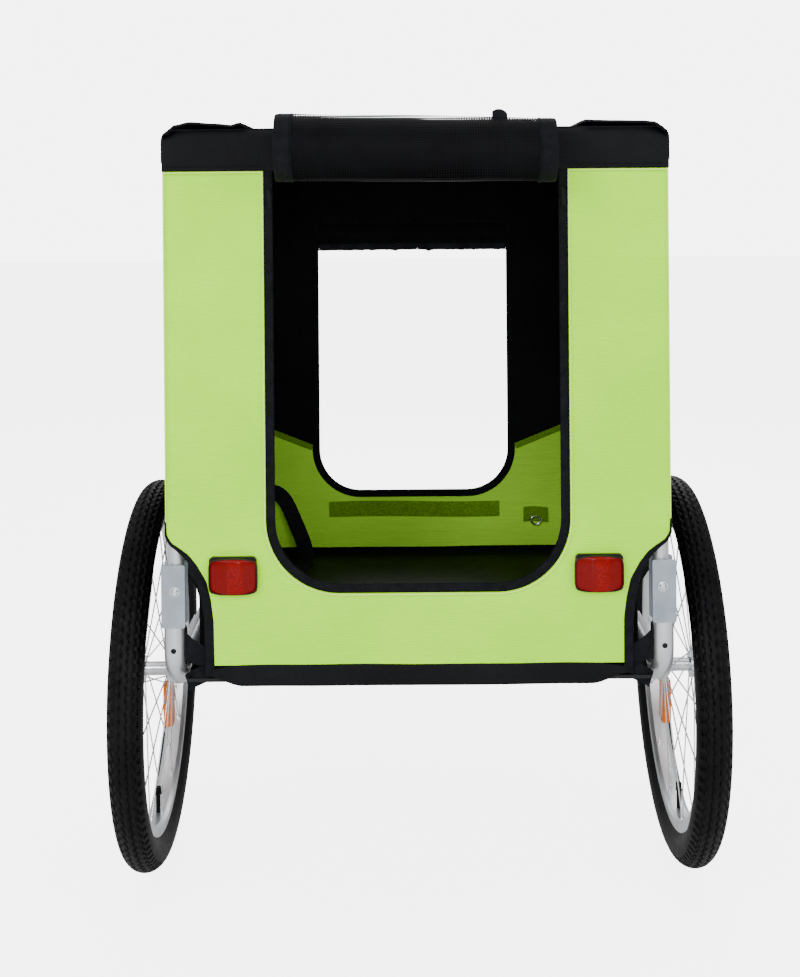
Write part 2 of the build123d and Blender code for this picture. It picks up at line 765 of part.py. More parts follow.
yaw_y = tip_y + hitch_yaw_ahead
lug_r = 12.0
lug_half = 6.0
with BuildPart() as drawbar_end:
    with BuildSketch(plate_xz(tip_y, 4.0)):
        with Locations((drawbar_x, drawbar_tip_z)):
            Circle(tube_r)
    extrude(amount=4.0)
    with BuildSketch(Plane.XY.offset(drawbar_tip_z - lug_half)):
        with Locations((drawbar_x, (tip_y + yaw_y) / 2)):
            Rectangle(2 * lug_r - 4.0, yaw_y - tip_y)
        with Locations((drawbar_x, yaw_y)):
            Circle(lug_r - 2.0)
            Circle(hitch_pin_r + snug, mode=Mode.SUBTRACT)
    extrude(amount=2 * lug_half)
save(drawbar_end, "drawbar_end")

fork_gap = lug_half + soft_gap
fork_t = 5.0
web_y = yaw_y + lug_r + 4.0
pitch_y = tip_y + hitch_pitch_ahead
with BuildPart() as hitch_yaw_pin:
    for low_z, high_z, radius in (
        (drawbar_tip_z - fork_gap - fork_t - 1.0, drawbar_tip_z + fork_gap + fork_t + 1.0, hitch_pin_r),
        (drawbar_tip_z + fork_gap + fork_t + soft_gap, drawbar_tip_z + fork_gap + fork_t + 3.5, 7.0),
        (drawbar_tip_z - fork_gap - fork_t - 3.0, drawbar_tip_z - fork_gap - fork_t - soft_gap, 7.0),
    ):
        with BuildSketch(Plane.XY.offset(low_z)):
            with Locations((drawbar_x, yaw_y)):
                Circle(radius)
        extrude(amount=high_z - low_z)
save(hitch_yaw_pin, "hitch_yaw_pin")

with BuildPart() as hitch_link:
    for low_z in (drawbar_tip_z + fork_gap, drawbar_tip_z - fork_gap - fork_t):
        with BuildSketch(Plane.XY.offset(low_z)):
            with Locations((drawbar_x, (yaw_y + web_y) / 2)):
                Rectangle(2 * lug_r, web_y - yaw_y)
            with Locations((drawbar_x, yaw_y)):
                Circle(lug_r)
                Circle(hitch_pin_r + run_gap, mode=Mode.SUBTRACT)
        extrude(amount=fork_t)
    with BuildSketch(plate_xz(web_y, 6.0)):
        with Locations((drawbar_x, drawbar_tip_z)):
            Rectangle(2 * lug_r, 2 * (fork_gap + fork_t))
    extrude(amount=6.0)
    with BuildSketch(Plane.YZ.offset(drawbar_x - 5.0)):
        with Locations(((web_y + 6.0 + pitch_y) / 2, drawbar_tip_z)):
            Rectangle(pitch_y - web_y - 6.0, 18.0)
        with Locations((pitch_y, drawbar_tip_z)):
            Circle(9.0)
            Circle(hitch_pin_r + snug, mode=Mode.SUBTRACT)
    extrude(amount=10.0)
save(hitch_link, "hitch_link")

ear_low = 5.0 + soft_gap
ear_t = 4.0
with BuildPart() as hitch_pitch_pin:
    for low_x, high_x, radius in (
        (-ear_low - ear_t - 1.0, ear_low + ear_t + 1.0, hitch_pin_r),
        (-ear_low - ear_t - 3.5, -ear_low - ear_t - soft_gap, 7.0),
        (ear_low + ear_t + soft_gap, ear_low + ear_t + 3.0, 7.0),
    ):
        with BuildSketch(Plane.YZ.offset(drawbar_x + low_x)):
            with Locations((pitch_y, drawbar_tip_z)):
                Circle(radius)
        extrude(amount=high_x - low_x)
save(hitch_pitch_pin, "hitch_pitch_pin")

bore_y = tip_y + hitch_bore_ahead
block_y = pitch_y + 13.0
with BuildPart() as hitch_plate:
    for low_x in (-ear_low - ear_t, ear_low):
        with BuildSketch(Plane.YZ.offset(drawbar_x + low_x)):
            with Locations(((pitch_y + block_y) / 2, drawbar_tip_z)):
                Rectangle(block_y - pitch_y, 18.0)
            with Locations((pitch_y, drawbar_tip_z)):
                Circle(9.0)
                Circle(hitch_pin_r + run_gap, mode=Mode.SUBTRACT)
        extrude(amount=ear_t)
    with BuildSketch(plate_xz(block_y, 6.0)):
        with Locations((drawbar_x, drawbar_tip_z)):
            Rectangle(2 * (ear_low + ear_t), 18.0)
    extrude(amount=6.0)
    with BuildSketch(Plane.YZ.offset(drawbar_x - 2.5)):
        with Locations(((block_y + bore_y) / 2 + 2.0, drawbar_tip_z)):
            Rectangle(bore_y - block_y - 4.0, 18.0)
        with Locations((bore_y, drawbar_tip_z)):
            Circle(hitch_eye_r)
            Circle(hitch_bore_r, mode=Mode.SUBTRACT)
    extrude(amount=5.0)
save(hitch_plate, "hitch_plate")
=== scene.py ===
"""A folding fabric-cabin bicycle trailer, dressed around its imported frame.

Sizes are in metres, +Z up, +Y the way it travels, +X to the right of someone behind it.
"""
import json
import math

import bpy
from mathutils import Matrix, Vector, noise


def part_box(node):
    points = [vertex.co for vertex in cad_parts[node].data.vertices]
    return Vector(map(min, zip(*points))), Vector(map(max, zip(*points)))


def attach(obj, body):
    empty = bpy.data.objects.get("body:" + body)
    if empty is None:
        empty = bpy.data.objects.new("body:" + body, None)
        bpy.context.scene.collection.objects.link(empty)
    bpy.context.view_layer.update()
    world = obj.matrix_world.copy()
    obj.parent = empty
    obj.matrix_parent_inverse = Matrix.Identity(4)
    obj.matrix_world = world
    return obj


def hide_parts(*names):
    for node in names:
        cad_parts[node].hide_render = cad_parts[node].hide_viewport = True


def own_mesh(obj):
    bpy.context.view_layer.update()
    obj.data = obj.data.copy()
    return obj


bl_info = {
    "name": "Folding bicycle trailer",
    "version": (1, 0, 0),
    "blender": (4, 5, 0),
    "location": "View3D > Sidebar > Trailer",
    "description": "Cloth, mesh, tyres and finishes of a folding bicycle trailer",
    "category": "Add Mesh",
}

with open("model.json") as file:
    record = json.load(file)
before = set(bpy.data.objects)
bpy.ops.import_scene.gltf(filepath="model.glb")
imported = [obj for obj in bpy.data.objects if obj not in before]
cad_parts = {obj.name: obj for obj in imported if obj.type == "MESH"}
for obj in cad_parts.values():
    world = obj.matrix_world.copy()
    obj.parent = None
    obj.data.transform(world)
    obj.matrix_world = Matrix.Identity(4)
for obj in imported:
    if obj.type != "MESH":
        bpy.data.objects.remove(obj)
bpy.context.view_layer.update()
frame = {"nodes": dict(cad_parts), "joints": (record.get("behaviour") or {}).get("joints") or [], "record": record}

# ---- places read from the frame ---------------------------------------------------------
PANEL_LOW, PANEL_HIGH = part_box("rear_panel")
FRONT_LOW, FRONT_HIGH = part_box("front_panel_upper")
BINDING_LOW, BINDING_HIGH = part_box("rear_binding")
HEADER_LOW, HEADER_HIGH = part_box("rear_header")
FLOOR_LOW, FLOOR_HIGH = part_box("floor_cover")
REAR_Y = PANEL_LOW.y
FRONT_Y = FRONT_HIGH.y
ROOF_Z = FRONT_HIGH.z
HALF_W = PANEL_HIGH.x
HEM_TOP_Z = PANEL_LOW.z
HEM_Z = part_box("rear_hem")[0].z
HEADER_Z = HEADER_LOW.z
OPENING_HALF = BINDING_HIGH.x - 0.011
OPENING_Z = BINDING_LOW.z + 0.011
FOLD_LINE_Z = 0.506           # the cloth above this line drops when the sides fold in
WHEELS = {"left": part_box("tyre_left"), "right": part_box("tyre_right")}
SIDES = {"left": -1, "right": 1}
LENS_MIDDLE_X = 0.2145        # middle of a red lens, from the trailer's middle


# ---- settings a user would change -------------------------------------------------------
class TrailerSizes(bpy.types.PropertyGroup):
    cloth: bpy.props.FloatProperty(
        name="Cloth", description="Thickness of the cabin cloth", default=0.0014, unit="LENGTH"
    )
    binding: bpy.props.FloatProperty(
        name="Binding", description="Width of the door's edge tape", default=0.011, unit="LENGTH"
    )
    slack: bpy.props.FloatProperty(
        name="Slack", description="How far the stretched cloth waves", default=0.0022, unit="LENGTH"
    )
    tread_depth: bpy.props.FloatProperty(
        name="Tread", description="Depth of the tyre's grooves", default=0.0026, unit="LENGTH"
    )
    camera_lens: bpy.props.FloatProperty(
        name="Lens", description="Camera's focal length, in millimetres", default=53.19
    )


class TrailerColours(bpy.types.PropertyGroup):
    cabin: bpy.props.FloatVectorProperty(
        name="Cabin", description="Bright end walls", subtype="COLOR", default=(0.395, 0.92, 0.0)
    )
    black: bpy.props.FloatVectorProperty(
        name="Black cloth", description="Roof, sides and tapes", subtype="COLOR",
        default=(0.0030, 0.0032, 0.0042),
    )
    floor: bpy.props.FloatVectorProperty(
        name="Floor", description="Studio floor", subtype="COLOR", default=(0.93, 0.93, 0.93)
    )


def sizes():
    return bpy.context.scene.trailer_sizes


def colours():
    return bpy.context.scene.trailer_colours


# ---- materials --------------------------------------------------------------------------
class Finish:
    """A material with its shader and object coordinates ready to build on."""

    def __init__(self, name, colour=(0.8, 0.8, 0.8), rough=0.5, metal=0.0):
        self.mat = bpy.data.materials.new(name)
        self.mat.use_nodes = True
        self.nodes = self.mat.node_tree.nodes
        self.links = self.mat.node_tree.links
        self.shader = self.nodes["Principled BSDF"]
        self.shader.inputs["Base Color"].default_value = (*colour, 1)
        self.shader.inputs["Roughness"].default_value = rough
        self.shader.inputs["Metallic"].default_value = metal
        self.coords = self.nodes.new("ShaderNodeTexCoord").outputs["Object"]

    def node(self, kind, inputs=None, **settings):
        made = self.nodes.new(kind)
        for key, value in settings.items():
            setattr(made, key, value)
        for key, value in (inputs or {}).items():
            if isinstance(value, bpy.types.NodeSocket):
                self.links.new(value, made.inputs[key])
            else:
                made.inputs[key].default_value = value
        return made

    def noise(self, scale, detail=3.0, stretch=(1, 1, 1), rough=0.5):
        placed = self.node("ShaderNodeMapping", {"Vector": self.coords, "Scale": stretch})
        made = self.node(
            "ShaderNodeTexNoise",
            {"Vector": placed.outputs[0], "Scale": scale, "Detail": detail, "Roughness": rough},
        )
        return made.outputs["Fac"]

    def bands(self, axis, pitch, distortion=0.0, detail=1.0, coords=None):
        made = self.node(
            "ShaderNodeTexWave",
            {
                "Vector": coords or self.coords,
                "Scale": math.pi / (10.0 * pitch),
                "Distortion": distortion,
                "Detail": detail,
                "Detail Scale": 1.0,
            },
            bands_direction=axis,
        )
        return made.outputs["Fac"]

    def math(self, operation, a, b=0.0):
        made = self.node("ShaderNodeMath", {0: a, 1: b}, operation=operation)
        return made.outputs[0]

    def spread(self, value, low, high):
        made = self.node("ShaderNodeMapRange", {"Value": value, "To Min": low, "To Max": high})
        return made.outputs[0]

    def tint(self, value, dark, light):
        """Colour that runs from dark to light with the value."""
        ramp = self.node("ShaderNodeValToRGB", {"Fac": value})
        ramp.color_ramp.elements[0].color = (*dark, 1)
        ramp.color_ramp.elements[1].color = (*light, 1)
        ramp.color_ramp.elements[0].position = 0.3
        ramp.color_ramp.elements[1].position = 0.7
        self.links.new(ramp.outputs[0], self.shader.inputs["Base Color"])

    def rough(self, value, low, high):
        self.links.new(self.spread(value, low, high), self.shader.inputs["Roughness"])

    def bump(self, height, distance, strength=1.0, below=None):
        inputs = {"Height": height, "Distance": distance, "Strength": strength}
        if below is not None:
            inputs["Normal"] = below
        made = self.node("ShaderNodeBump", inputs)
        self.links.new(made.outputs[0], self.shader.inputs["Normal"])
        return made.outputs[0]


def scaled(colour, factor):
    return tuple(min(1.0, channel * factor) for channel in colour)


def bright_cloth(name="cabin_cloth", painted_light_shift=(0.0, 0.0, 0.0)):
    """Coated polyester with fine ribs across it and soft creases."""
    # The shift is added to the cabin colour: the paler edge copy is a painted highlight, the darker inside copy
    # painted shade.
    base = tuple(channel + more for channel, more in zip(colours().cabin, painted_light_shift))
    made = Finish(name, base, 0.62)
    patches = made.noise(7.0, 4.0)
    made.tint(patches, scaled(base, 0.93), scaled(base, 1.05))
    made.rough(made.noise(60.0), 0.55, 0.72)
    ribs = made.bands("Z", 0.0032, 3.0, 2.0)
    under = made.bump(ribs, 0.0004, 0.55)
    threads = made.bands("X", 0.0012)
    under = made.bump(threads, 0.00012, 0.35, under)
    creases = made.noise(26.0, 5.0, (0.35, 0.35, 1.6), 0.6)
    made.bump(creases, 0.0055, 0.6, under)
    made.shader.inputs["Specular IOR Level"].default_value = 0.12
    return made.mat


def black_cloth(name="black_cloth", lift=1.0, pitch=0.0014, gloss=0.66):
    """Plain-woven black polyester with a soft sheen."""
    base = tuple(colours().black)
    made = Finish(name, base, gloss)
    # A lift below 1 darkens the cloth: the inside copy for the front wall uses 0.8 as painted shade.
    made.tint(made.noise(9.0, 4.0), scaled(base, 0.75 * lift), scaled(base, 1.5 * lift))
    made.rough(made.noise(45.0), gloss - 0.1, gloss + 0.08)
    under = made.bump(made.bands("X", pitch, 0.4), 0.0003, 0.5)
    under = made.bump(made.bands("Z", pitch, 0.4), 0.0003, 0.5, under)
    under = made.bump(made.bands("Y", pitch, 0.4), 0.0003, 0.4, under)
    made.bump(made.noise(22.0, 5.0, (1, 1, 1.6), 0.6), 0.003, 0.5, under)
    made.shader.inputs["Specular IOR Level"].default_value = 0.10
    return made.mat


def webbing(name="webbing", along="Z"):
    """Ribbed black tape: fine ridges across, a raised edge to each rib."""
    base = scaled(tuple(colours().black), 1.5)
    made = Finish(name, base, 0.6)
    made.tint(made.noise(90.0), scaled(base, 0.8), scaled(base, 1.6))
    under = made.bump(made.bands(along, 0.0016), 0.0006, 0.8)
    made.bump(made.noise(400.0), 0.0002, 0.4, under)
    made.shader.inputs["Specular IOR Level"].default_value = 0.06
    return made.mat


def open_mesh(name, across, holes=0.0021, see_through=0.30, lift=2.0):
    """Black polyester net: round-cornered holes between woven threads."""
    base = scaled(tuple(colours().black), lift)
    made = Finish(name, base, 0.5)
    made.tint(made.noise(30.0), scaled(base, 0.7), scaled(base, 1.5))
    first = made.bands(across[0], holes)
    second = made.bands(across[1], holes)
    thread = made.math("MAXIMUM", first, second)
    solid = made.math("GREATER_THAN", thread, see_through)
    made.links.new(solid, made.shader.inputs["Alpha"])
    made.bump(thread, 0.0004, 0.8)
    made.shader.inputs["Specular IOR Level"].default_value = 0.06
    return made.mat


def silver_paint(name="silver_paint"):
    """Satin silver powder coat with a fine orange peel."""
    made = Finish(name, (0.55, 0.56, 0.58), 0.33, 0.75)
    made.tint(made.noise(14.0, 4.0), (0.50, 0.51, 0.53), (0.60, 0.61, 0.63))
    made.rough(made.noise(70.0, 4.0), 0.26, 0.42)
    made.bump(made.noise(520.0, 2.0), 0.0002, 0.35)
    made.shader.inputs["Coat Weight"].default_value = 0.25
    made.shader.inputs["Coat Roughness"].default_value = 0.25
    return made.mat


def grey_bracket(name="grey_bracket"):
    """Blue-grey painted steel, a little worn."""
    made = Finish(name, (0.25, 0.29, 0.34), 0.42, 0.35)
    made.tint(made.noise(40.0, 5.0), (0.215, 0.25, 0.295), (0.29, 0.33, 0.38))
    made.rough(made.noise(130.0, 4.0), 0.32, 0.52)
    made.bump(made.noise(480.0, 2.0), 0.0002, 0.35)
    made.shader.inputs["Coat Weight"].default_value = 0.2
    return made.mat


def bright_zinc(name="bright_zinc"):
    """Zinc-plated steel with fine turning marks."""
    made = Finish(name, (0.62, 0.64, 0.66), 0.24, 1.0)
    made.tint(made.noise(120.0, 4.0), (0.55, 0.57, 0.60), (0.70, 0.71, 0.72))
    made.rough(made.noise(200.0, 3.0), 0.16, 0.34)
    made.bump(made.noise(300.0, 3.0, (8, 1, 1)), 0.0001, 0.4)
    return made.mat


def rim_alloy(name="rim_alloy"):
    """Silver rim alloy, softly brushed round the wheel."""
    made = Finish(name, (0.68, 0.69, 0.71), 0.34, 0.9)
    made.tint(made.noise(20.0, 4.0), (0.62, 0.63, 0.65), (0.74, 0.75, 0.77))
    made.rough(made.noise(160.0, 3.0), 0.26, 0.42)
    made.bump(made.noise(260.0, 3.0, (6, 1, 1)), 0.00012, 0.4)
    return made.mat


def tyre_rubber(name="tyre_rubber"):
    """Dull black rubber with moulding grain and a little dust."""
    made = Finish(name, (0.003, 0.003, 0.0036), 0.5)
    made.tint(made.noise(35.0, 5.0), (0.0018, 0.0018, 0.0023), (0.0048, 0.0048, 0.0054))
    made.rough(made.noise(120.0, 4.0), 0.36, 0.6)
    made.bump(made.noise(900.0, 2.0), 0.0002, 0.5)
    made.shader.inputs["Specular IOR Level"].default_value = 0.07
    return made.mat


def hard_plastic(name="hard_plastic", colour=(0.006, 0.006, 0.007)):
    """Fine-grained moulded plastic."""
    made = Finish(name, colour, 0.4)
    made.tint(made.noise(50.0, 4.0), scaled(colour, 0.85), scaled(colour, 1.3))
    made.rough(made.noise(260.0), 0.32, 0.48)
    made.bump(made.noise(700.0, 2.0), 0.00015, 0.4)
    made.shader.inputs["Specular IOR Level"].default_value = 0.2
    return made.mat


def reflector(name, deep, light, pitch=0.0026, lit_facet=0.0):
    """Clear coloured plastic over rows of small prisms."""
    made = Finish(name, light, 0.22)
    rows = made.math("MAXIMUM", made.bands("Z", pitch), made.bands("X", pitch))
    speckle = made.noise(420.0, 2.0)
    value = made.math("MULTIPLY", rows, speckle)
    # A brighter band down the middle of each lens: painted highlight on the middle facet, where the light falls on
    # it.
    if lit_facet:
        place = made.node("ShaderNodeSeparateXYZ", {"Vector": made.coords}).outputs[0]
        off = made.math("ABSOLUTE", made.math("SUBTRACT", made.math("ABSOLUTE", place), LENS_MIDDLE_X))
        middle = made.math("LESS_THAN", off, lit_facet)
        value = made.math("ADD", made.math("MULTIPLY", value, 0.55), made.math("MULTIPLY", middle, 0.10))
    made.tint(value, deep, light)
    made.bump(rows, 0.0003, 0.4)
    made.shader.inputs["Coat Weight"].default_value = 0.15
    made.shader.inputs["Specular IOR Level"].default_value = 0.06
    # The lens glows faintly in its own colour: painted light, for a lens is no lamp.
    made.shader.inputs["Emission Color"].default_value = (*light, 1)
    made.shader.inputs["Emission Strength"].default_value = 0.01
    return made.mat


def coated_floor(name="coated_floor"):
    """Black coated cloth, smooth and rather shiny, with slight waves."""
    made = Finish(name, (0.0015, 0.0015, 0.0018), 0.4)
    made.tint(made.noise(12.0, 4.0), (0.0010, 0.0010, 0.0013), (0.0030, 0.0030, 0.0035))
    made.rough(made.noise(18.0, 4.0), 0.34, 0.55)
    made.shader.inputs["Specular IOR Level"].default_value = 0.05
    under = made.bump(made.bands("X", 0.0016), 0.0001, 0.25)
    made.bump(made.noise(14.0, 4.0), 0.006, 0.45, under)
    return made.mat


def loop_tape(name="loop_tape"):
    """Dark green hook-and-loop tape with a felted pile."""
    base = scaled(tuple(colours().cabin), 0.30)
    made = Finish(name, base, 0.9)
    made.tint(made.noise(500.0, 3.0), scaled(base, 0.6), scaled(base, 1.3))
    made.bump(made.noise(700.0, 3.0), 0.0006, 0.9)
    made.shader.inputs["Specular IOR Level"].default_value = 0.1
    return made.mat


MATERIALS = {}


def material(name):
    """The finish of this name, made the first time it is asked for."""
    makers = {
        "cabin_cloth": bright_cloth,
        # Less green, slightly bluer copy of the cabin cloth for the inside of the front wall: painted shade of the
        # cabin's inside.
        "shaded_cabin_inner": lambda: bright_cloth("shaded_cabin_inner", (0.0, -0.08, 0.045)),
        # Paler copy of the cabin cloth for the folded panel edges: a painted highlight.
        "cabin_edge_highlight": lambda: bright_cloth("cabin_edge_highlight", (0.25, 0.06, 0.12)),
        "black_cloth": black_cloth,
        # Darker copy of the black cloth for the inside of the front wall: painted shade; its rougher finish and
        # weave pitch are its own.
        "shaded_inner_cloth": lambda: black_cloth("shaded_inner_cloth", 0.8, 0.0016, 0.8),
        "tape": lambda: webbing("tape", "Z"),
        "webbing": lambda: webbing("webbing", "Y"),
        "end_tape": lambda: webbing("end_tape", "X"),
        "roll_mesh": lambda: open_mesh("roll_mesh", "XZ", 0.0029, 0.60, 0.9),
        "side_mesh": lambda: open_mesh("side_mesh", "YZ", 0.0021, 0.40, 1.0),
        "roll_core": lambda: open_mesh("roll_core", "XZ", 0.0029, -1.0, 4.2),
        "silver_paint": silver_paint,
        "grey_bracket": grey_bracket,
        "bright_zinc": bright_zinc,
        "rim_alloy": rim_alloy,
        "tyre_rubber": tyre_rubber,
        "hard_plastic": hard_plastic,
        # Red lenses with a painted highlight band down their middle facets.
        "red_reflector": lambda: reflector(
            "red_reflector", (0.14, 0.0, 0.0), (0.58, 0.0, 0.0), pitch=0.0018, lit_facet=0.0088
        ),
        "orange_reflector": lambda: reflector("orange_reflector", (0.6, 0.10, 0.0), (1.0, 0.26, 0.01)),
        "coated_floor": coated_floor,
        "loop_tape": loop_tape,
    }
    if name not in MATERIALS:
        MATERIALS[name] = makers[name]()
    return MATERIALS[name]


# ---- modelling helpers ------------------------------------------------------------------
def start_piece(name):
    """Name the primitive just added."""
    piece = bpy.context.object
    piece.name = name
    piece.data.name = name
    return piece


def clear_selection():
    bpy.ops.object.select_all(action="DESELECT")


def grid_piece(name, rows):
    """A grid primitive with its vertices placed row by row."""
    clear_selection()
    bpy.ops.mesh.primitive_grid_add(x_subdivisions=len(rows[0]) - 1, y_subdivisions=len(rows) - 1)
    piece = start_piece(name)
    flat = [value for row in rows for point in row for value in point]
    piece.data.vertices.foreach_set("co", flat)
    piece.data.update()
    return piece


def edit_clean(closed_ends=False):
    """Weld the seams, close open ends if asked, and turn every face outwards."""
    bpy.ops.object.mode_set(mode="EDIT")
    bpy.ops.mesh.select_all(action="SELECT")
    bpy.ops.mesh.remove_doubles(threshold=1e-6)
    if closed_ends:
        bpy.ops.mesh.fill_holes(sides=0)
    bpy.ops.mesh.select_all(action="SELECT")
    bpy.ops.mesh.normals_make_consistent(inside=False)
    bpy.ops.object.mode_set(mode="OBJECT")


def lofted(name, rings, round_again=False):
    """A closed skin through rings of points; round_again joins the last ring to the first."""
    rows = [list(ring) + [ring[0]] for ring in rings]
    if round_again:
        rows.append(rows[0])
    piece = grid_piece(name, rows)
    edit_clean(closed_ends=not round_again)
    return piece


def cloth_sheet(name, rows, thickness):
    """An open sheet through rows of points, given its cloth's thickness."""
    piece = grid_piece(name, rows)
    edit_clean()
    add_modifier(piece, "SOLIDIFY", thickness=thickness, offset=0.0)
    return piece


def add_modifier(piece, kind, **settings):
    """Add a modifier to a piece and apply it."""
    clear_selection()
    piece.select_set(True)
    bpy.context.view_layer.objects.active = piece
    modifier = piece.modifiers.new(kind.lower(), kind)
    for key, value in settings.items():
        setattr(modifier, key, value)
    bpy.ops.object.modifier_apply(modifier=modifier.name)


def smooth(piece, angle=40):
    clear_selection()
    piece.select_set(True)
    bpy.context.view_layer.objects.active = piece
    bpy.ops.object.shade_smooth_by_angle(angle=math.radians(angle))


def join(name, parts):
    """Join pieces into one object."""
    clear_selection()
    for part in parts:
        part.select_set(True)
    bpy.context.view_layer.objects.active = parts[0]
    if len(parts) > 1:
        bpy.ops.object.join()
    return start_piece(name)


def dress(piece, finish, body, replaced=(), angle=40):
    """Give a finished piece its material, smooth shading and body, and hide the parts it replaces."""
    piece.data.materials.clear()
    piece.data.materials.append(material(finish))
    smooth(piece, angle)
    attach(piece, body)
    if replaced:
        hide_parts(*replaced)
    return piece


def drops(piece):
    """Give the piece its own copy of its mesh; nothing here lets the cloth above the low walls sink as the left
    side folds in.
    """
    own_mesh(piece)


def lerp(a, b, t):
    return a + (b - a) * t


def steps(count):
    return [i / count for i in range(count + 1)]


def ripple(x, z, seed, size):
    """A gentle wave of stretched cloth."""
    broad = noise.noise(Vector((x * 4.0, seed, z * 3.0)))
    fine = noise.noise(Vector((x * 11.0 + 3.0, seed + 5.0, z * 17.0)))
    return size * (0.75 * broad + 0.30 * fine)


def along_arc(points, count):
    """Points evenly spaced along a polyline."""
    lengths = [0.0]
    for first, second in zip(points, points[1:]):
        lengths.append(lengths[-1] + (second - first).length)
    found = []
    for t in steps(count):
        wanted = t * lengths[-1]
        k = 0
        while k < len(points) - 2 and lengths[k + 1] < wanted:
            k += 1
        span = max(lengths[k + 1] - lengths[k], 1e-9)
        found.append(points[k].lerp(points[k + 1], (wanted - lengths[k]) / span))
    return found


def round_tape(name, centres, widths, normals, thickness, sides=12, fullness=2.6):
    """A soft-edged tape along its centre points, with its half width and normal at each."""
    rings = []
    for centre, half, normal in zip(centres, widths, normals):
        ring = []
        for k in range(sides):
            angle = 2 * math.pi * k / sides
            c, s = math.cos(angle), math.sin(angle)
            across = math.copysign(abs(c) ** (2 / fullness), c)
            out = math.copysign(abs(s) ** (2 / fullness), s)
            ring.append(centre + half * across + normal * (out * thickness / 2))
        rings.append(ring)
    return lofted(name, rings)


def flat_tape(name, path, half, normal, thickness):
    """A tape with one width direction and one normal all along its path."""
    return round_tape(name, path, [half] * len(path), [normal] * len(path), thickness)


def edge_tape(name, path, facing, width, thickness):
    """A tape in the plane that faces along facing, beside a path in that plane."""
    widths = []
    for k in range(len(path)):
        before = path[max(k - 1, 0)]
        after = path[min(k + 1, len(path) - 1)]
        run = (after - before).normalized()
        widths.append(run.cross(facing).normalized() * (width / 2))
    return round_tape(name, path, widths, [facing] * len(path), thickness)


# ---- outlines of the end walls ----------------------------------------------------------
CORNER = [
    Vector((HALF_W, 0, FOLD_LINE_Z)), Vector((HALF_W, 0, 0.488)), Vector((0.292, 0, 0.479)),
    Vector((0.283, 0, 0.472)), Vector((0.274, 0, 0.464)), Vector((0.266, 0, 0.451)),
    Vector((0.259, 0, 0.434)), Vector((0.254, 0, 0.412)), Vector((0.251, 0, 0.388)),
]


def u_path(half, low_z, corner, top_z, flat_steps=14, bend_steps=12):
    """Down one side of a U, round its corners and up the other, in the XZ plane."""
    straight = [Vector((half, 0, lerp(top_z, low_z + corner, t))) for t in steps(flat_steps)]
    bend = [
        Vector((
            half - corner + corner * math.cos(t * math.pi / 2),
            0,
            low_z + corner - corner * math.sin(t * math.pi / 2),
        ))
        for t in steps(bend_steps)[1:]
    ]
    right = straight + bend
    left = [Vector((-p.x, 0, p.z)) for p in reversed(right)]
    return right + left


def wall_rows(half, low_z, corner, foot_z, top_z, y, seed, columns=14):
    """Rows of points from an opening's edge out to the wall's edge, below and above the fold line."""
    outer_corner = CORNER + [Vector((0.250, 0, foot_z)), Vector((half - corner, 0, foot_z))]
    bend_steps = 30
    inner_corner = [
        Vector((
            half - corner + corner * math.cos(t * math.pi / 2),
            0,
            low_z + corner - corner * math.sin(t * math.pi / 2),
        ))
        for t in steps(bend_steps)
    ]
    lift = FOLD_LINE_Z - (low_z + corner)
    inner_corner = [Vector((half, 0, FOLD_LINE_Z))] * (1 if abs(lift) > 1e-6 else 0) + inner_corner
    inner = along_arc(inner_corner, 40)
    outer = along_arc(outer_corner, 40)
    rows = []
    for start, end in zip(inner, outer):
        rows.append([start.lerp(end, t) for t in steps(columns)])
    base = [
        [Vector((lerp(half - corner, corner - half, t), 0, lerp(low_z, foot_z, s))) for s in steps(columns)]
        for t in steps(10)[1:]
    ]
    mirrored = [[Vector((-p.x, 0, p.z)) for p in row] for row in reversed(rows[:-1])]
    lower = rows + base + mirrored
    upper = []
    for t in steps(40):
        z = lerp(FOLD_LINE_Z, top_z, t)
        upper.append([Vector((lerp(half, HALF_W, s), 0, z)) for s in steps(columns)])

    def placed(row_list):
        return [
            [Vector((p.x, y + ripple(p.x, p.z, seed, sizes().slack), p.z)) for p in row]
            for row in row_list
        ]

    other = [[Vector((-p.x, 0, p.z)) for p in row] for row in upper]
    return placed(lower), placed(upper), placed(other)


def stitches(name, path, every=0.0042, length=0.0026, radius=0.00042):
    """A row of small raised stitches along a path."""
    count = max(2, int(sum((b - a).length for a, b in zip(path, path[1:])) / every))
    spots = along_arc(path, count)
    clear_selection()
    bpy.ops.mesh.primitive_cylinder_add(vertices=6, radius=radius, depth=length)
    single = bpy.context.object
    verts = [v.co.copy() for v in single.data.vertices]
    faces = [tuple(p.vertices) for p in single.data.polygons]
    points, polys = [], []
    for k, spot in enumerate(spots[:-1]):
        run = (spots[k + 1] - spot).normalized()
        turn = run.to_track_quat("Z", "Y").to_matrix()
        base = len(points)
        points += [spot + turn @ v for v in verts]
        polys += [tuple(base + i for i in face) for face in faces]
    single.data.clear_geometry()
    single.data.from_pydata([tuple(p) for p in points], [], polys)
    return start_piece(name)


# ---- operators: one for each piece or group of like pieces ------------------------------
REARWARD = Vector((0, -1, 0))
UP = Vector((0, 0, 1))
ACROSS = Vector((1, 0, 0))


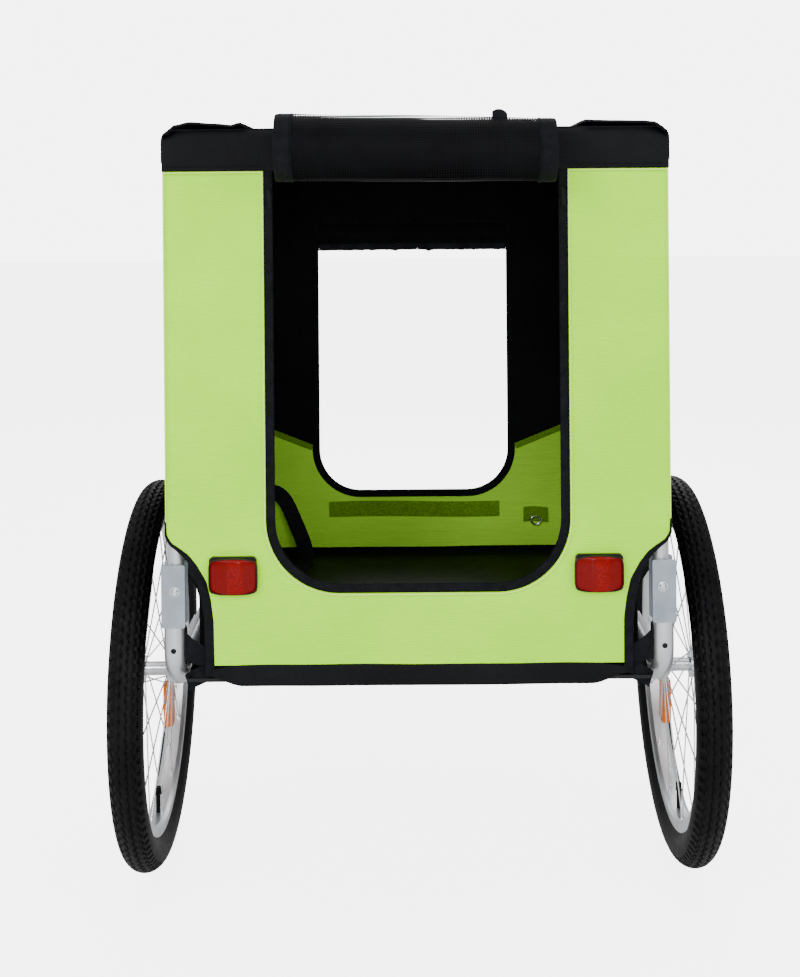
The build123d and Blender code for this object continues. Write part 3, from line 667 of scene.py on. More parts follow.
class TRAILER_OT_rear_wall(bpy.types.Operator):
    """Bright rear wall with its door tape, corner tapes, hem and black header"""
    bl_idname = "trailer.rear_wall"
    bl_label = "Rear wall"

    def execute(self, context):
        cloth = sizes().cloth
        tape_w = sizes().binding
        wall_y = REAR_Y + 0.0012
        lower, right, left = wall_rows(
            OPENING_HALF + tape_w, OPENING_Z - tape_w, 0.086, HEM_TOP_Z, HEADER_Z, wall_y, 1.0
        )
        low_wall = cloth_sheet("rear_wall_low", lower, cloth)
        dress(low_wall, "cabin_cloth", "root", ["rear_panel"])
        sides = [cloth_sheet("rear_wall_side", rows, cloth) for rows in (right, left)]
        high_wall = join("rear_wall_high", sides)
        dress(high_wall, "cabin_cloth", "root")
        drops(high_wall)

        half = OPENING_HALF + tape_w / 2
        low_z = OPENING_Z - tape_w / 2
        bend = 0.075 + tape_w / 2
        tape_y = Vector((0, wall_y - 0.0006, 0))
        low_path = [p + tape_y for p in u_path(half, low_z, bend, FOLD_LINE_Z, 2, 14)]
        low_tape = edge_tape("door_tape_low", low_path, REARWARD, tape_w, 0.0042)
        dress(low_tape, "tape", "root", ["rear_binding"])
        uprights = []
        for side in SIDES.values():
            path = [
                Vector((side * half, 0, lerp(FOLD_LINE_Z, HEADER_Z, t))) + tape_y for t in steps(30)
            ]
            uprights.append(edge_tape("door_tape_side", path, REARWARD, tape_w, 0.0042))
        high_tape = join("door_tape_high", uprights)
        dress(high_tape, "tape", "root")
        drops(high_tape)

        # Thin paler lime lines along the wall's folded edges, next to the tapes: painted highlight where the folds
        # catch the light.
        edge_y = wall_y - 0.0050
        edge_x = OPENING_HALF + tape_w + 0.0008
        edge_foot = OPENING_Z - tape_w - 0.0008
        edge_top = HEADER_Z - 0.004
        side_x = HALF_W - 0.001
        foot_line = u_path(edge_x, edge_foot, 0.087, FOLD_LINE_Z, 2, 14)
        path = [p + Vector((0, edge_y, 0)) for p in foot_line]
        low_highlight = edge_tape("panel_highlight_low", path, REARWARD, 0.0017, 0.0020)
        dress(low_highlight, "cabin_edge_highlight", "root")
        highlight_lines = []
        for side in SIDES.values():
            inner = [Vector((side * edge_x, edge_y, lerp(FOLD_LINE_Z, edge_top, t))) for t in steps(24)]
            top = [Vector((lerp(side * edge_x, side * side_x, t), edge_y, edge_top)) for t in steps(12)]
            outer = [Vector((side * side_x, edge_y, lerp(FOLD_LINE_Z, edge_top, t))) for t in steps(24)]
            for path, width in ((inner, 0.0017), (top, 0.0017), (outer, 0.0015)):
                highlight_lines.append(edge_tape("panel_highlight_line", path, REARWARD, width, 0.0020))
        high_highlights = join("panel_highlight_high", highlight_lines)
        dress(high_highlights, "cabin_edge_highlight", "root")
        drops(high_highlights)

        corner_tapes = []
        for side in SIDES.values():
            points = along_arc(CORNER + [Vector((0.250, 0, HEM_Z + 0.004))], 48)
            path, halves = [], []
            for t, p in zip(steps(47), points):
                half_w = lerp(0.0012, 0.0056, min(1.0, t / 0.45) ** 1.5)
                path.append(Vector((side * (p.x - half_w + 0.0014), wall_y - 0.0004, p.z)))
                halves.append(half_w)
            widths = []
            for k, half_w in enumerate(halves):
                run = (path[min(k + 1, 47)] - path[max(k - 1, 0)]).normalized()
                widths.append(run.cross(REARWARD).normalized() * half_w)
            corner_tapes.append(round_tape("corner_tape", path, widths, [REARWARD] * 48, 0.0044))
        dress(join("corner_tapes", corner_tapes), "tape", "root")

        path, halves = [], []
        for t in steps(60):
            x = lerp(-0.252, 0.247, t)
            end = min(1.0, min(t, 1 - t) / 0.09)
            end = end * end * (3 - 2 * end)
            wave = 0.0015 * noise.noise(Vector((x * 9, 2.0, 0)))
            z = (HEM_Z + HEM_TOP_Z) / 2 - 0.0022 + wave + 0.004 * (1 - end)
            path.append(Vector((x, wall_y + 0.0002, z)))
            halves.append(UP * (0.0132 * (0.30 + 0.70 * end)))
        hem = round_tape("rear_hem_tape", path, halves, [REARWARD] * len(path), 0.0052)
        dress(hem, "black_cloth", "root", ["rear_hem"])

        rows = []
        for s in steps(16):
            row = []
            for t in steps(70):
                x = lerp(-HALF_W - 0.001, HALF_W + 0.001, t)
                fall = 0.012 * max(0.0, (abs(x) - 0.262) / 0.036) ** 2
                top = ROOF_Z - 0.0015 - fall
                z = lerp(HEADER_Z - 0.0025, top, s)
                curl = 0.008 * max(0.0, (s - 0.8) / 0.2) ** 2
                row.append(Vector((x, wall_y - 0.0026 + curl + ripple(x, z, 4.0, 0.0018), z)))
            rows.append(row)
        header = cloth_sheet("rear_header_band", rows, cloth)
        dress(header, "black_cloth", "root", ["rear_header"])
        drops(header)

        seam_spots = []
        for x0, x1 in ((-HALF_W + 0.004, -OPENING_HALF - 0.012), (OPENING_HALF + 0.012, HALF_W - 0.004)):
            line = [Vector((lerp(x0, x1, t), wall_y - 0.0046, HEADER_Z + 0.003)) for t in steps(12)]
            seam_spots.append(stitches("seam", line))
        seam = join("header_stitches", seam_spots)
        dress(seam, "tape", "root")
        drops(seam)
        return {"FINISHED"}


class TRAILER_OT_front_wall(bpy.types.Operator):
    """Front wall: bright lower part, black upper part, window tape and hook-and-loop strip"""
    bl_idname = "trailer.front_wall"
    bl_label = "Front wall"

    def execute(self, context):
        cloth = sizes().cloth
        y = FRONT_Y - 0.0012
        half, low_z, corner, top_z = 0.148, 0.420, 0.065, 0.845
        inner_z, outer_z = 0.485, 0.542
        bend = [
            Vector((half - corner + corner * math.cos(t * math.pi / 2), 0,
                    low_z + corner - corner * math.sin(t * math.pi / 2)))
            for t in steps(24)
        ]
        outer = [Vector((HALF_W, 0, outer_z))] + CORNER
        outer += [Vector((0.250, 0, HEM_Z)), Vector((half - corner, 0, HEM_Z))]
        inner_points = along_arc(bend, 44)
        outer_points = along_arc(outer, 44)
        rows = [[a.lerp(b, t) for t in steps(14)] for a, b in zip(inner_points, outer_points)]
        base = [
            [Vector((lerp(half - corner, corner - half, t), 0, lerp(low_z, HEM_Z, s))) for s in steps(14)]
            for t in steps(12)[1:]
        ]
        rows = rows + base + [[Vector((-p.x, 0, p.z)) for p in row] for row in reversed(rows[:-1])]
        rows = [[Vector((p.x, y + ripple(p.x, p.z, 7.0, 0.0018), p.z)) for p in row] for row in rows]
        low = cloth_sheet("front_wall_low", rows, cloth)
        # The inside of the lower front wall wears the darker copy of the cabin cloth: painted shade.
        dress(low, "shaded_cabin_inner", "root", ["front_panel_lower"])

        parts = []
        for side in SIDES.values():
            rows = []
            for t in steps(44):
                a = Vector((half, 0, lerp(inner_z, top_z, t)))
                b = Vector((HALF_W, 0, lerp(outer_z, ROOF_Z - 0.002, t)))
                row = [a.lerp(b, s) for s in steps(12)]
                rows.append([
                    Vector((side * p.x, y + ripple(p.x, p.z, 9.0, 0.0018), p.z)) for p in row
                ])
            parts.append(cloth_sheet("front_side", rows, cloth))
        rows = []
        for s in steps(14):
            row = []
            for t in steps(40):
                x = lerp(-half, half, t)
                z = lerp(top_z, ROOF_Z - 0.002, s)
                row.append(Vector((x, y + ripple(abs(x), z, 9.0, 0.0018), z)))
            rows.append(row)
        parts.append(cloth_sheet("front_top", rows, cloth))
        corners = []
        for side in SIDES.values():
            rows = []
            for s in steps(10):
                a = Vector((side * half, y, lerp(top_z, ROOF_Z - 0.002, s)))
                b = Vector((side * HALF_W, y, ROOF_Z - 0.002))
                rows.append([a.lerp(b, t) for t in steps(8)])
            corners.append(cloth_sheet("front_corner", rows, cloth))
        high = join("front_wall_high", parts + corners)
        # The upper front wall's inside wears the darker copy of the black cloth: painted shade.
        dress(high, "shaded_inner_cloth", "root", ["front_panel_upper"])
        drops(high)

        foot_line = u_path(half + 0.005, low_z - 0.005, corner + 0.005, FOLD_LINE_Z, 2, 14)
        path = [p + Vector((0, y, 0)) for p in foot_line]
        low_tape = edge_tape("window_tape_low", path, REARWARD, 0.012, 0.0042)
        dress(low_tape, "tape", "root")
        parts = []
        for side in SIDES.values():
            path = [Vector((side * (half + 0.005), y, lerp(0.506, top_z, t))) for t in steps(24)]
            parts.append(edge_tape("window_tape_side", path, REARWARD, 0.012, 0.0042))
        path = [Vector((lerp(-half, half, t), y, top_z)) for t in steps(20)]
        parts.append(edge_tape("window_tape_top", path, REARWARD, 0.012, 0.0042))
        high_tape = join("window_tape_high", parts)
        dress(high_tape, "tape", "root")
        drops(high_tape)

        parts = []
        for side in SIDES.values():
            a = Vector((side * (half + 0.011), y - 0.001, inner_z + 0.003))
            b = Vector((side * (HALF_W - 0.002), y - 0.001, outer_z))
            hem_path = [a.lerp(b, t) for t in steps(16)]
            parts.append(edge_tape("front_low_hem", hem_path, REARWARD, 0.0095, 0.003))
        hems = join("front_low_hems", parts)
        dress(hems, "loop_tape", "root")

        strip_low, strip_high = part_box("velcro_strip")
        middle_y = (strip_low.y + strip_high.y) / 2
        middle_z = (strip_low.z + strip_high.z) / 2
        path = [
            Vector((
                lerp(strip_low.x, strip_high.x, t), middle_y - 0.0006, middle_z + 0.001 * math.sin(6 * t)
            ))
            for t in steps(30)
        ]
        strip = flat_tape("loop_strip", path, UP * 0.012, REARWARD, 0.0016)
        dress(strip, "loop_tape", "root", ["velcro_strip"])
        return {"FINISHED"}


class TRAILER_OT_roof(bpy.types.Operator):
    """Roof drawn over the side tubes in one curved sheet, with its two loose flaps"""
    bl_idname = "trailer.roof"
    bl_label = "Roof"

    def execute(self, context):
        cloth = sizes().cloth
        edge_r = 0.013
        side_x = HALF_W + 0.0022
        section = [Vector((-side_x, 0, ROOF_Z - 0.040)), Vector((-side_x, 0, ROOF_Z - 0.026))]
        for t in steps(8):
            angle = t * math.pi / 2
            section.append(Vector((
                -side_x + edge_r - edge_r * math.cos(angle), 0,
                ROOF_Z - 0.001 - edge_r + edge_r * math.sin(angle),
            )))
        section += [Vector((lerp(-side_x + edge_r, 0, t), 0, ROOF_Z - 0.001)) for t in steps(14)[1:]]
        section += [Vector((-p.x, 0, p.z)) for p in reversed(section[:-1])]
        rows = []
        for s in steps(50):
            y = lerp(REAR_Y + 0.004, FRONT_Y - 0.001, s)
            row = []
            for p in section:
                across = max(0.0, 1 - (p.x / 0.285) ** 2)
                sag = 0.011 * across * math.sin(math.pi * s) ** 0.8
                wave = 0.0022 * noise.noise(Vector((p.x * 7, y * 9, 3.0))) * across
                row.append(Vector((p.x, y, p.z - sag + wave - 0.001)))
            rows.append(row)
        roof = cloth_sheet("roof_cover", rows, cloth)
        dress(roof, "black_cloth", "root", ["roof_panel"])
        drops(roof)

        flap_low, flap_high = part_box("roof_flaps")
        parts = []
        shapes = (
            (-0.2935, -0.199, ((0, -0.0085), (0.03, -0.0045), (0.12, 0.0015), (0.3, 0.0048), (0.62, 0.0028),
                               (0.82, 0.0012), (0.93, 0.0038), (1, 0.0005))),
            (0.201, 0.2945, ((0, 0.0042), (0.1, 0.0036), (0.35, 0.0030), (0.7, 0.0024), (0.86, 0.0012),
                             (0.95, -0.0035), (1, -0.0090))),
        )
        for x0, x1, outline in shapes:
            rows = []
            for s in steps(30):
                y = lerp(flap_low.y, flap_high.y, s)
                row = []
                for t in steps(28):
                    x = lerp(x0, x1, t)
                    k = max(i for i, point in enumerate(outline[:-1]) if point[0] <= t + 1e-9)
                    part = (t - outline[k][0]) / (outline[k + 1][0] - outline[k][0])
                    lift = lerp(outline[k][1], outline[k + 1][1], part * part * (3 - 2 * part))
                    settle = 1 - 0.45 * s + 0.12 * math.sin(9 * s)
                    row.append(Vector((x, y, ROOF_Z + 0.0012 + (lift * settle if lift > 0 else lift))))
                rows.append(row)
            parts.append(cloth_sheet("roof_flap", rows, 0.0026))
        flaps = join("roof_flap_pair", parts)
        dress(flaps, "black_cloth", "root", ["roof_flaps"])
        drops(flaps)
        return {"FINISHED"}


def ring_rows(inner, outer, columns):
    """Rows from an inner loop of points to an outer loop, closed round."""
    rows = [[a.lerp(b, t) for t in steps(columns)] for a, b in zip(inner, outer)]
    return rows + [rows[0]]


def round_rectangle(y0, y1, z0, z1, corner, x, count=12):
    """A loop of points round a rectangle with round corners, in a plane of constant X."""
    loop = []
    centres = (
        (y1 - corner, z1 - corner, 0), (y0 + corner, z1 - corner, 1),
        (y0 + corner, z0 + corner, 2), (y1 - corner, z0 + corner, 3),
    )
    for cy, cz, quarter in centres:
        for t in steps(count):
            angle = (quarter + t) * math.pi / 2
            loop.append(Vector((x, cy + corner * math.cos(angle), cz + corner * math.sin(angle))))
    return loop


class TRAILER_OT_side_walls(bpy.types.Operator):
    """Side walls: a taped net window on each folding side and black cloth below it"""
    bl_idname = "trailer.side_walls"
    bl_label = "Side walls"

    def execute(self, context):
        cloth = sizes().cloth
        for name, side in SIDES.items():
            body = f"{name}_side"
            x = side * (HALF_W + 0.0008)
            y0, y1 = REAR_Y + 0.003, FRONT_Y - 0.003
            z0, z1 = 0.500, ROOF_Z - 0.006
            window = round_rectangle(y0 + 0.052, y1 - 0.052, z0 + 0.05, z1 - 0.07, 0.05, x)
            rim = round_rectangle(y0, y1, z0, z1, 0.004, x)
            rows = ring_rows(window, rim, 8)
            rows = [[
                Vector((p.x - side * 0.0006 + side * ripple(p.y, p.z, 12.0 + side, 0.0010), p.y, p.z))
                for p in row
            ] for row in rows]
            surround = cloth_sheet(f"side_window_surround_{name}", rows, cloth)
            dress(surround, "black_cloth", body, [f"side_panel_{name}"])
            rows = []
            for s in steps(40):
                z = lerp(z0 + 0.046, z1 - 0.066, s)
                row = []
                for t in steps(40):
                    y = lerp(y0 + 0.048, y1 - 0.048, t)
                    bow = 0.004 * math.sin(math.pi * s) * math.sin(math.pi * t)
                    row.append(Vector((x - side * (0.002 + bow), y, z)))
                rows.append(row)
            net = cloth_sheet(f"side_window_net_{name}", rows, 0.0008)
            dress(net, "side_mesh", body)
            closed = window + [window[0]]
            tape = edge_tape(
                f"side_window_tape_{name}", [p - Vector((side * 0.0002, 0, 0)) for p in closed],
                ACROSS * side, 0.014, 0.0026
            )
            dress(tape, "tape", body)

            rows = []
            for s in steps(24):
                z = lerp(0.326, FOLD_LINE_Z + 0.004, s)
                reach = min(1.0, max(0.0, (z - 0.405) / 0.075))
                reach = reach * reach * (3 - 2 * reach)
                row = []
                for t in steps(50):
                    y = lerp(REAR_Y + 0.032, FRONT_Y - 0.036, t)
                    hold = 0.0025 * noise.noise(Vector((y * 12, z * 16, side * 5.0)))
                    x = lerp(0.2620, 0.2990, reach) + hold * (1 - reach) * 0.5
                    row.append(Vector((side * x, y, z)))
                rows.append(row)
            skirt = cloth_sheet(f"side_low_wall_{name}", rows, cloth)
            dress(skirt, "black_cloth", "root", [f"side_skirt_{name}"])
        return {"FINISHED"}


def spiral_rows(x0, x1, y, z, inner_r, outer_r, turns, start_angle, seed, lift=0.0, lean=0.0):
    """A sheet rolled up about a line across the trailer, a little uneven."""
    count = int(44 * turns)
    rows = []
    for k in range(count + 1):
        t = k / count
        angle = start_angle + 2 * math.pi * turns * t
        row = []
        for s in steps(44):
            x = lerp(x0, x1, s)
            r = lerp(inner_r, outer_r, t) * (1 - 0.7 * lean * s)
            r += 0.0016 * noise.noise(Vector((x * 14, angle * 0.8, seed))) * (0.35 + 0.65 * t)
            top = max(0.0, math.sin(angle)) ** 3
            sag = lift * top * t ** 3 * (0.55 + 0.45 * noise.noise(Vector((x * 17, seed, 1.0))))
            r = min(r + sag, outer_r + 0.0012)
            drop = 0.056 * lean * s
            row.append(Vector((x, y + r * math.cos(angle), z - drop + r * math.sin(angle))))
        rows.append(row)
    return rows


def end_band(name, x, y, z, radius, width, thick=0.0016):
    """A ring of tape round a roll."""
    rings = []
    for k in range(56):
        angle = 2 * math.pi * k / 56
        out = Vector((0, math.cos(angle), math.sin(angle)))
        centre = Vector((x, y, z)) + out * radius
        ring = []
        for j in range(12):
            a = 2 * math.pi * j / 12
            c, s = math.cos(a), math.sin(a)
            ring.append(
                centre + ACROSS * (math.copysign(abs(c) ** 0.6, c) * width / 2)
                + out * (math.copysign(abs(s) ** 0.6, s) * thick / 2)
            )
        rings.append(ring)
    return lofted(name, rings, round_again=True)


class TRAILER_OT_rolled_doors(bpy.types.Operator):
    """The net door rolled up over the rear opening, and the one over the front window"""
    bl_idname = "trailer.rolled_doors"
    bl_label = "Rolled doors"

    def execute(self, context):
        low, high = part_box("rear_door_roll")
        centre = (low + high) / 2
        radius = (high.z - low.z) / 2
        rows = spiral_rows(
            low.x + 0.003, high.x - 0.003, centre.y, centre.z, inner_r=0.0335, outer_r=radius - 0.0014,
            turns=3.0, start_angle=math.pi / 2, seed=1.0, lift=0.002, lean=0.09
        )
        roll = cloth_sheet("rear_rolled_net", rows, 0.0007)
        dress(roll, "roll_mesh", "root", ["rear_door_roll"])
        drops(roll)
        rows = spiral_rows(
            low.x + 0.004, high.x - 0.004, centre.y, centre.z, inner_r=0.022, outer_r=radius - 0.0072,
            turns=3.0, start_angle=math.pi / 2, seed=3.0, lean=0.09
        )
        core = cloth_sheet("rear_roll_core", rows, 0.0012)
        dress(core, "roll_core", "root")
        drops(core)
        bands = []
        for x, lean in ((low.x + 0.0105, 0.0), (high.x - 0.0105, 0.09)):
            band_r = (radius - 0.0018) * (1 - 0.7 * lean)
            band_z = centre.z - 0.056 * lean
            seam_x = x + (0.0085 if x < 0 else -0.0085)
            bands.append(end_band("roll_band", x, centre.y, band_z, band_r, 0.021, 0.0022))
            bands.append(end_band("roll_band_seam", seam_x, centre.y, band_z, band_r + 0.0008, 0.0018))
        band = join("rear_roll_bands", bands)
        dress(band, "end_tape", "root")
        drops(band)

        toggle_low, toggle_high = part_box("door_toggle")
        middle = (toggle_low + toggle_high) / 2
        rings = []
        for t in steps(20):
            x = lerp(toggle_low.x + 0.0005, toggle_high.x - 0.0005, t)
            hump = math.sin(math.pi * min(1.0, 0.12 + 0.88 * t)) ** 0.5 if t < 1 else 0.2
            top = toggle_low.z - 0.0045 + 0.0070 * max(0.25, hump)
            ring = []
            for k in range(16):
                a = 2 * math.pi * k / 16
                c, s = math.cos(a), math.sin(a)
                z = lerp(toggle_low.z - 0.011, top, 0.5 + 0.5 * math.copysign(abs(s) ** 0.5, s))
                ring.append(Vector((x, middle.y + 0.0052 * math.copysign(abs(c) ** 0.5, c), z)))
            rings.append(ring)
        toggle = lofted("door_loop", rings)
        dress(toggle, "webbing", "root", ["door_toggle"])
        drops(toggle)

        pull_top = 0.895
        pulls = []
        for x, tip in ((-0.1725, 0.001), (0.1725, 0.002)):
            path = [
                Vector((x + tip * t, REAR_Y - 0.0036 - 0.0012 * math.sin(3 * t), pull_top - 0.022 * t))
                for t in steps(8)
            ]
            pulls.append(flat_tape("zip_pull", path, ACROSS * 0.0026, REARWARD, 0.0016))
        pull = join("zip_pulls", pulls)
        dress(pull, "webbing", "root")
        drops(pull)

        low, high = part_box("front_door_roll")
        centre = (low + high) / 2
        radius = (high.z - low.z) / 2
        rows = spiral_rows(
            low.x, high.x, centre.y, centre.z, inner_r=0.022, outer_r=radius - 0.003,
            turns=2.5, start_angle=0.3, seed=6.0
        )
        front_roll = cloth_sheet("front_rolled_net", rows, 0.0007)
        dress(front_roll, "roll_mesh", "root", ["front_door_roll"])
        drops(front_roll)
        rows = spiral_rows(
            low.x + 0.002, high.x - 0.002, centre.y, centre.z + 0.002, inner_r=0.006,
            outer_r=radius - 0.009, turns=1.0, start_angle=0, seed=8.0
        )
        front_core = cloth_sheet("front_roll_core", rows, 0.0012)
        dress(front_core, "roll_core", "root")
        drops(front_core)
        rows = []
        for s in steps(10):
            row = []
            for t in steps(160):
                x = lerp(low.x + 0.012, high.x - 0.012, t)
                fray = 0.0055 * noise.noise(Vector((x * 55, 1.0, 0)))
                fray += 0.003 * noise.noise(Vector((x * 210, 2.0, 0)))
                z = lerp(0.806, 0.7965 + 0.7 * fray, s)
                fold = 0.004 * math.sin(x * 160 + 3 * noise.noise(Vector((x * 20, 0, 0)))) * s
                row.append(Vector((x, FRONT_Y + 0.0075 + fold, z)))
            rows.append(row)
        frill = cloth_sheet("front_net_edge", rows, 0.0006)
        dress(frill, "roll_core", "root")
        drops(frill)
        return {"FINISHED"}


class TRAILER_OT_reflectors(bpy.types.Operator):
    """Rear reflectors: curved red lenses with prisms behind, in dark rims"""
    bl_idname = "trailer.reflectors"
    bl_label = "Reflectors"

    def execute(self, context):
        low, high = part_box("reflector_lenses")
        height = high.z - low.z - 0.0015
        middle_z = (low.z + high.z) / 2 - 0.001
        width = 0.053
        lenses, rims = [], []
        for x in (low.x + width / 2, high.x - width / 2):
            rings = []
            for t in steps(28):
                across = lerp(-1, 1, t)
                crown = 0.0062 - 0.0056 * max(0.0, (abs(across) - 0.30) / 0.70)
                shrink = 1.0 - 0.06 * abs(across) ** 8
                front = high.y - 0.0008 - crown
                ring = []
                for k in range(28):
                    a = 2 * math.pi * k / 28
                    c, s = math.cos(a), math.sin(a)
                    z = math.copysign(abs(s) ** 0.22, s) * height / 2 * shrink
                    y = lerp(front, high.y, 0.5 + 0.5 * math.copysign(abs(c) ** 0.35, c))
                    y += 0.0006 * (z / (height / 2)) ** 4 * (1 if c < 0 else 0)
                    bulge = 0.0020 * (1 - across ** 2) * s
                    ring.append(Vector((x + across * (width / 2 + 0.0014), y, middle_z + z + bulge)))
                rings.append(ring)
            lenses.append(lofted("lens", rings))
            loop = []
            for k in range(72):
                a = 2 * math.pi * k / 72
                across = math.copysign(abs(math.cos(a)) ** 0.3, math.cos(a))
                up = math.copysign(abs(math.sin(a)) ** 0.3, math.sin(a))
                z = middle_z + up * (height / 2 + 0.0002) + 0.0020 * (1 - across ** 2) * up
                loop.append(Vector((x + across * (width / 2 + 0.0016), high.y - 0.0022, z)))
            rims.append(edge_tape("rim", loop + [loop[0]], REARWARD, 0.0016, 0.0050))
        lens_pair = join("reflector_lens_pair", lenses)
        dress(lens_pair, "red_reflector", "root", ["reflector_lenses"], 30)
        dress(join("reflector_rim_pair", rims), "hard_plastic", "root")
        return {"FINISHED"}


class TRAILER_OT_floor(bpy.types.Operator):
    """Shiny floor lining with a turned-up edge, leash strap and ring"""
    bl_idname = "trailer.floor"
    bl_label = "Floor and leash"

    def execute(self, context):
        half = FLOOR_HIGH.x
        rows = []
        for s in steps(40):
            y = lerp(FLOOR_LOW.y + 0.001, FLOOR_HIGH.y - 0.001, s)
            row = []
            for t in steps(40):
                x = lerp(-half + 0.002, half - 0.002, t)
                away = max(abs(x) / half, abs(2 * s - 1))
                turn_up = 0.010 * max(0.0, (away - 0.965) / 0.035) ** 2
                wave = 0.0011 * noise.noise(Vector((x * 8, y * 8, 2.0)))
                if min(abs(abs(x) - 0.289), 1) < 0.02 and abs(2 * s - 1) > 0.94:
                    turn_up = 0
                row.append(Vector((x, y, FLOOR_HIGH.z - 0.0002 + max(wave, -0.0006) + turn_up)))
            rows.append(row)
        lining = cloth_sheet("floor_lining", rows, 0.0012)
        dress(lining, "coated_floor", "root", ["floor_cover"])

        low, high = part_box("leash_strap")
        x = (low.x + high.x) / 2
        bends = [
            Vector((x - 0.046, high.y - 0.004, high.z + 0.022)),
            Vector((x - 0.016, high.y - 0.004, high.z + 0.021)),
            Vector((x - 0.003, high.y - 0.006, high.z + 0.008)),
            Vector((x + 0.014, high.y - 0.012, high.z - 0.030)),
            Vector((x + 0.028, high.y - 0.024, low.z + 0.018)),
            Vector((x + 0.032, high.y - 0.040, low.z + 0.003)),
            Vector((x + 0.024, high.y - 0.110, low.z + 0.0020)),
            Vector((x + 0.010, low.y + 0.030, low.z + 0.0012)),
            Vector((x, low.y + 0.002, low.z + 0.0012)),
        ]
        path = along_arc(bends, 60)
        for _ in range(10):
            path = [path[0]] + [
                (path[k - 1] + path[k] * 2 + path[k + 1]) / 4 for k in range(1, len(path) - 1)
            ] + [path[-1]]
        widths, normals = [], []
        for k in range(len(path)):
            run = (path[min(k + 1, len(path) - 1)] - path[max(k - 1, 0)]).normalized()
            widths.append(run.cross(REARWARD + UP * 0.35).normalized() * 0.0115)
            normals.append(run.cross(widths[-1]).normalized())
        strap = round_tape("leash_webbing", path, widths, normals, 0.0018)
        dress(strap, "webbing", "root", ["leash_strap"])

        low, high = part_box("leash_ring")
        # A dark green patch behind the ring: painted shadow of the front reflector, seen through the cloth.
        shadow_patch_z = 0.381
        shadow_patch_path = [
            Vector((lerp(low.x, high.x, t), high.y - 0.0014, shadow_patch_z + 0.001 * math.sin(4 * t)))
            for t in steps(16)
        ]
        shadow_patch = flat_tape("ring_shadow_patch", shadow_patch_path, UP * 0.0115, REARWARD, 0.0026)
        dress(shadow_patch, "loop_tape", "root")
        clear_selection()
        bpy.ops.mesh.primitive_torus_add(
            location=((low.x + high.x) / 2, low.y + 0.002, 0.3735), rotation=(math.pi / 2, 0, 0),
            major_radius=0.0078, minor_radius=0.0016, major_segments=40, minor_segments=14,
        )
        bpy.ops.object.transform_apply(location=True, rotation=True, scale=True)
        ring = start_piece("leash_d_ring")
        for v in ring.data.vertices:
            if v.co.z > 0.3735:
                v.co.z = 0.3735 + (v.co.z - 0.3735) * 0.62
        dress(ring, "bright_zinc", "root", ["leash_ring"])
        return {"FINISHED"}


class TRAILER_OT_tyres(bpy.types.Operator):
    """Tyres with a ribbed zigzag tread, moulded sidewalls and spoke nipples"""
    bl_idname = "trailer.tyres"
    bl_label = "Tyres"

    def execute(self, context):
        depth = sizes().tread_depth
        for name in SIDES:
            low, high = WHEELS[name]
            centre = (low + high) / 2
            outer_r = (high.z - low.z) / 2
            half_w = (high.x - low.x) / 2
            bead_r = 0.2035
            body_r = half_w - 0.0008
            middle_r = outer_r - body_r - 0.0005
            profile = []
            for k in range(60):
                angle = math.radians(-128) + math.radians(256) * k / 59
                u = angle / math.radians(60)
                across = math.sin(angle) * body_r
                out = middle_r + math.cos(angle) * (body_r if abs(angle) < 1.6 else body_r * 1.0)
                profile.append((u, across, out))
            rings = []
            count = 624
            for j in range(count):
                turn = 2 * math.pi * j / count
                ring = []
                for u, across, out in profile:
                    cut = 0.0
                    zig = 0.055 * (1 if (j // 3) % 2 else -1)
                    for groove in (-0.62, -0.22, 0.22, 0.62):
                        near = abs(u - groove - zig)
                        cut = max(cut, 1.0 - near / 0.075 if near < 0.075 else 0.0)
                    if 0.80 < abs(u) < 1.12:
                        cut = max(cut, 0.95 if j % 6 < 2 else 0.0)
                    if 1.16 < abs(u) < 1.22 or 1.66 < abs(u) < 1.72:
                        cut = max(cut, -0.35)
                    step = 1 - depth * min(cut, 1.0) / body_r
                    a = across * step
                    o = middle_r + (out - middle_r) * step
                    o = max(o, bead_r)
                    ring.append(Vector((
                        centre.x + a, centre.y + o * math.cos(turn), centre.z + o * math.sin(turn)
                    )))
                inner = [(0.0095, bead_r), (0.0, bead_r - 0.0002), (-0.0095, bead_r)]
                for a, o in inner:
                    ring.append(Vector((
                        centre.x + a, centre.y + o * math.cos(turn), centre.z + o * math.sin(turn)
                    )))
                rings.append(ring)
            tyre = lofted(f"tyre_tread_{name}", rings, round_again=True)
            dress(tyre, "tyre_rubber", f"{name}_wheel", [f"tyre_{name}"], 32)

            rim_r = 0.194
            clear_selection()
            bpy.ops.mesh.primitive_cylinder_add(vertices=8, radius=0.0021, depth=0.010)
            nipple = bpy.context.object
            verts = [v.co.copy() for v in nipple.data.vertices]
            faces = [tuple(p.vertices) for p in nipple.data.polygons]
            points, polys = [], []
            for i in range(28):
                flange = 1 if i % 2 else -1
                lean = 1 if i % 4 < 2 else -1
                angle = 2 * math.pi * (i + 2 * lean) / 28
                out = Vector((0, math.cos(angle), math.sin(angle)))
                turn = out.to_track_quat("Z", "Y").to_matrix()
                spot = centre + ACROSS * (flange * 0.0042) + out * (rim_r - 0.0042)
                base = len(points)
                points += [tuple(spot + turn @ v) for v in verts]
                polys += [tuple(base + i2 for i2 in face) for face in faces]
            nipple.data.clear_geometry()
            nipple.data.from_pydata(points, [], polys)
            dress(start_piece(f"spoke_nipples_{name}"), "bright_zinc", f"{name}_wheel")
        return {"FINISHED"}


def turned_bolt(name, x, z, stations):
    """A bolt turned about a fore-and-aft axis: stations of (y, radius, is it six-sided)."""
    rings = []
    for y, radius, hexagon in stations:
        ring = []
        for k in range(36):
            angle = 2 * math.pi * k / 36
            r = radius
            if hexagon:
                part = (angle % (math.pi / 3)) - math.pi / 6
                r = radius * math.cos(math.pi / 6) / math.cos(part)
            ring.append(Vector((x + r * math.cos(angle), y, z + r * math.sin(angle))))
        rings.append(ring)
    return lofted(name, rings)


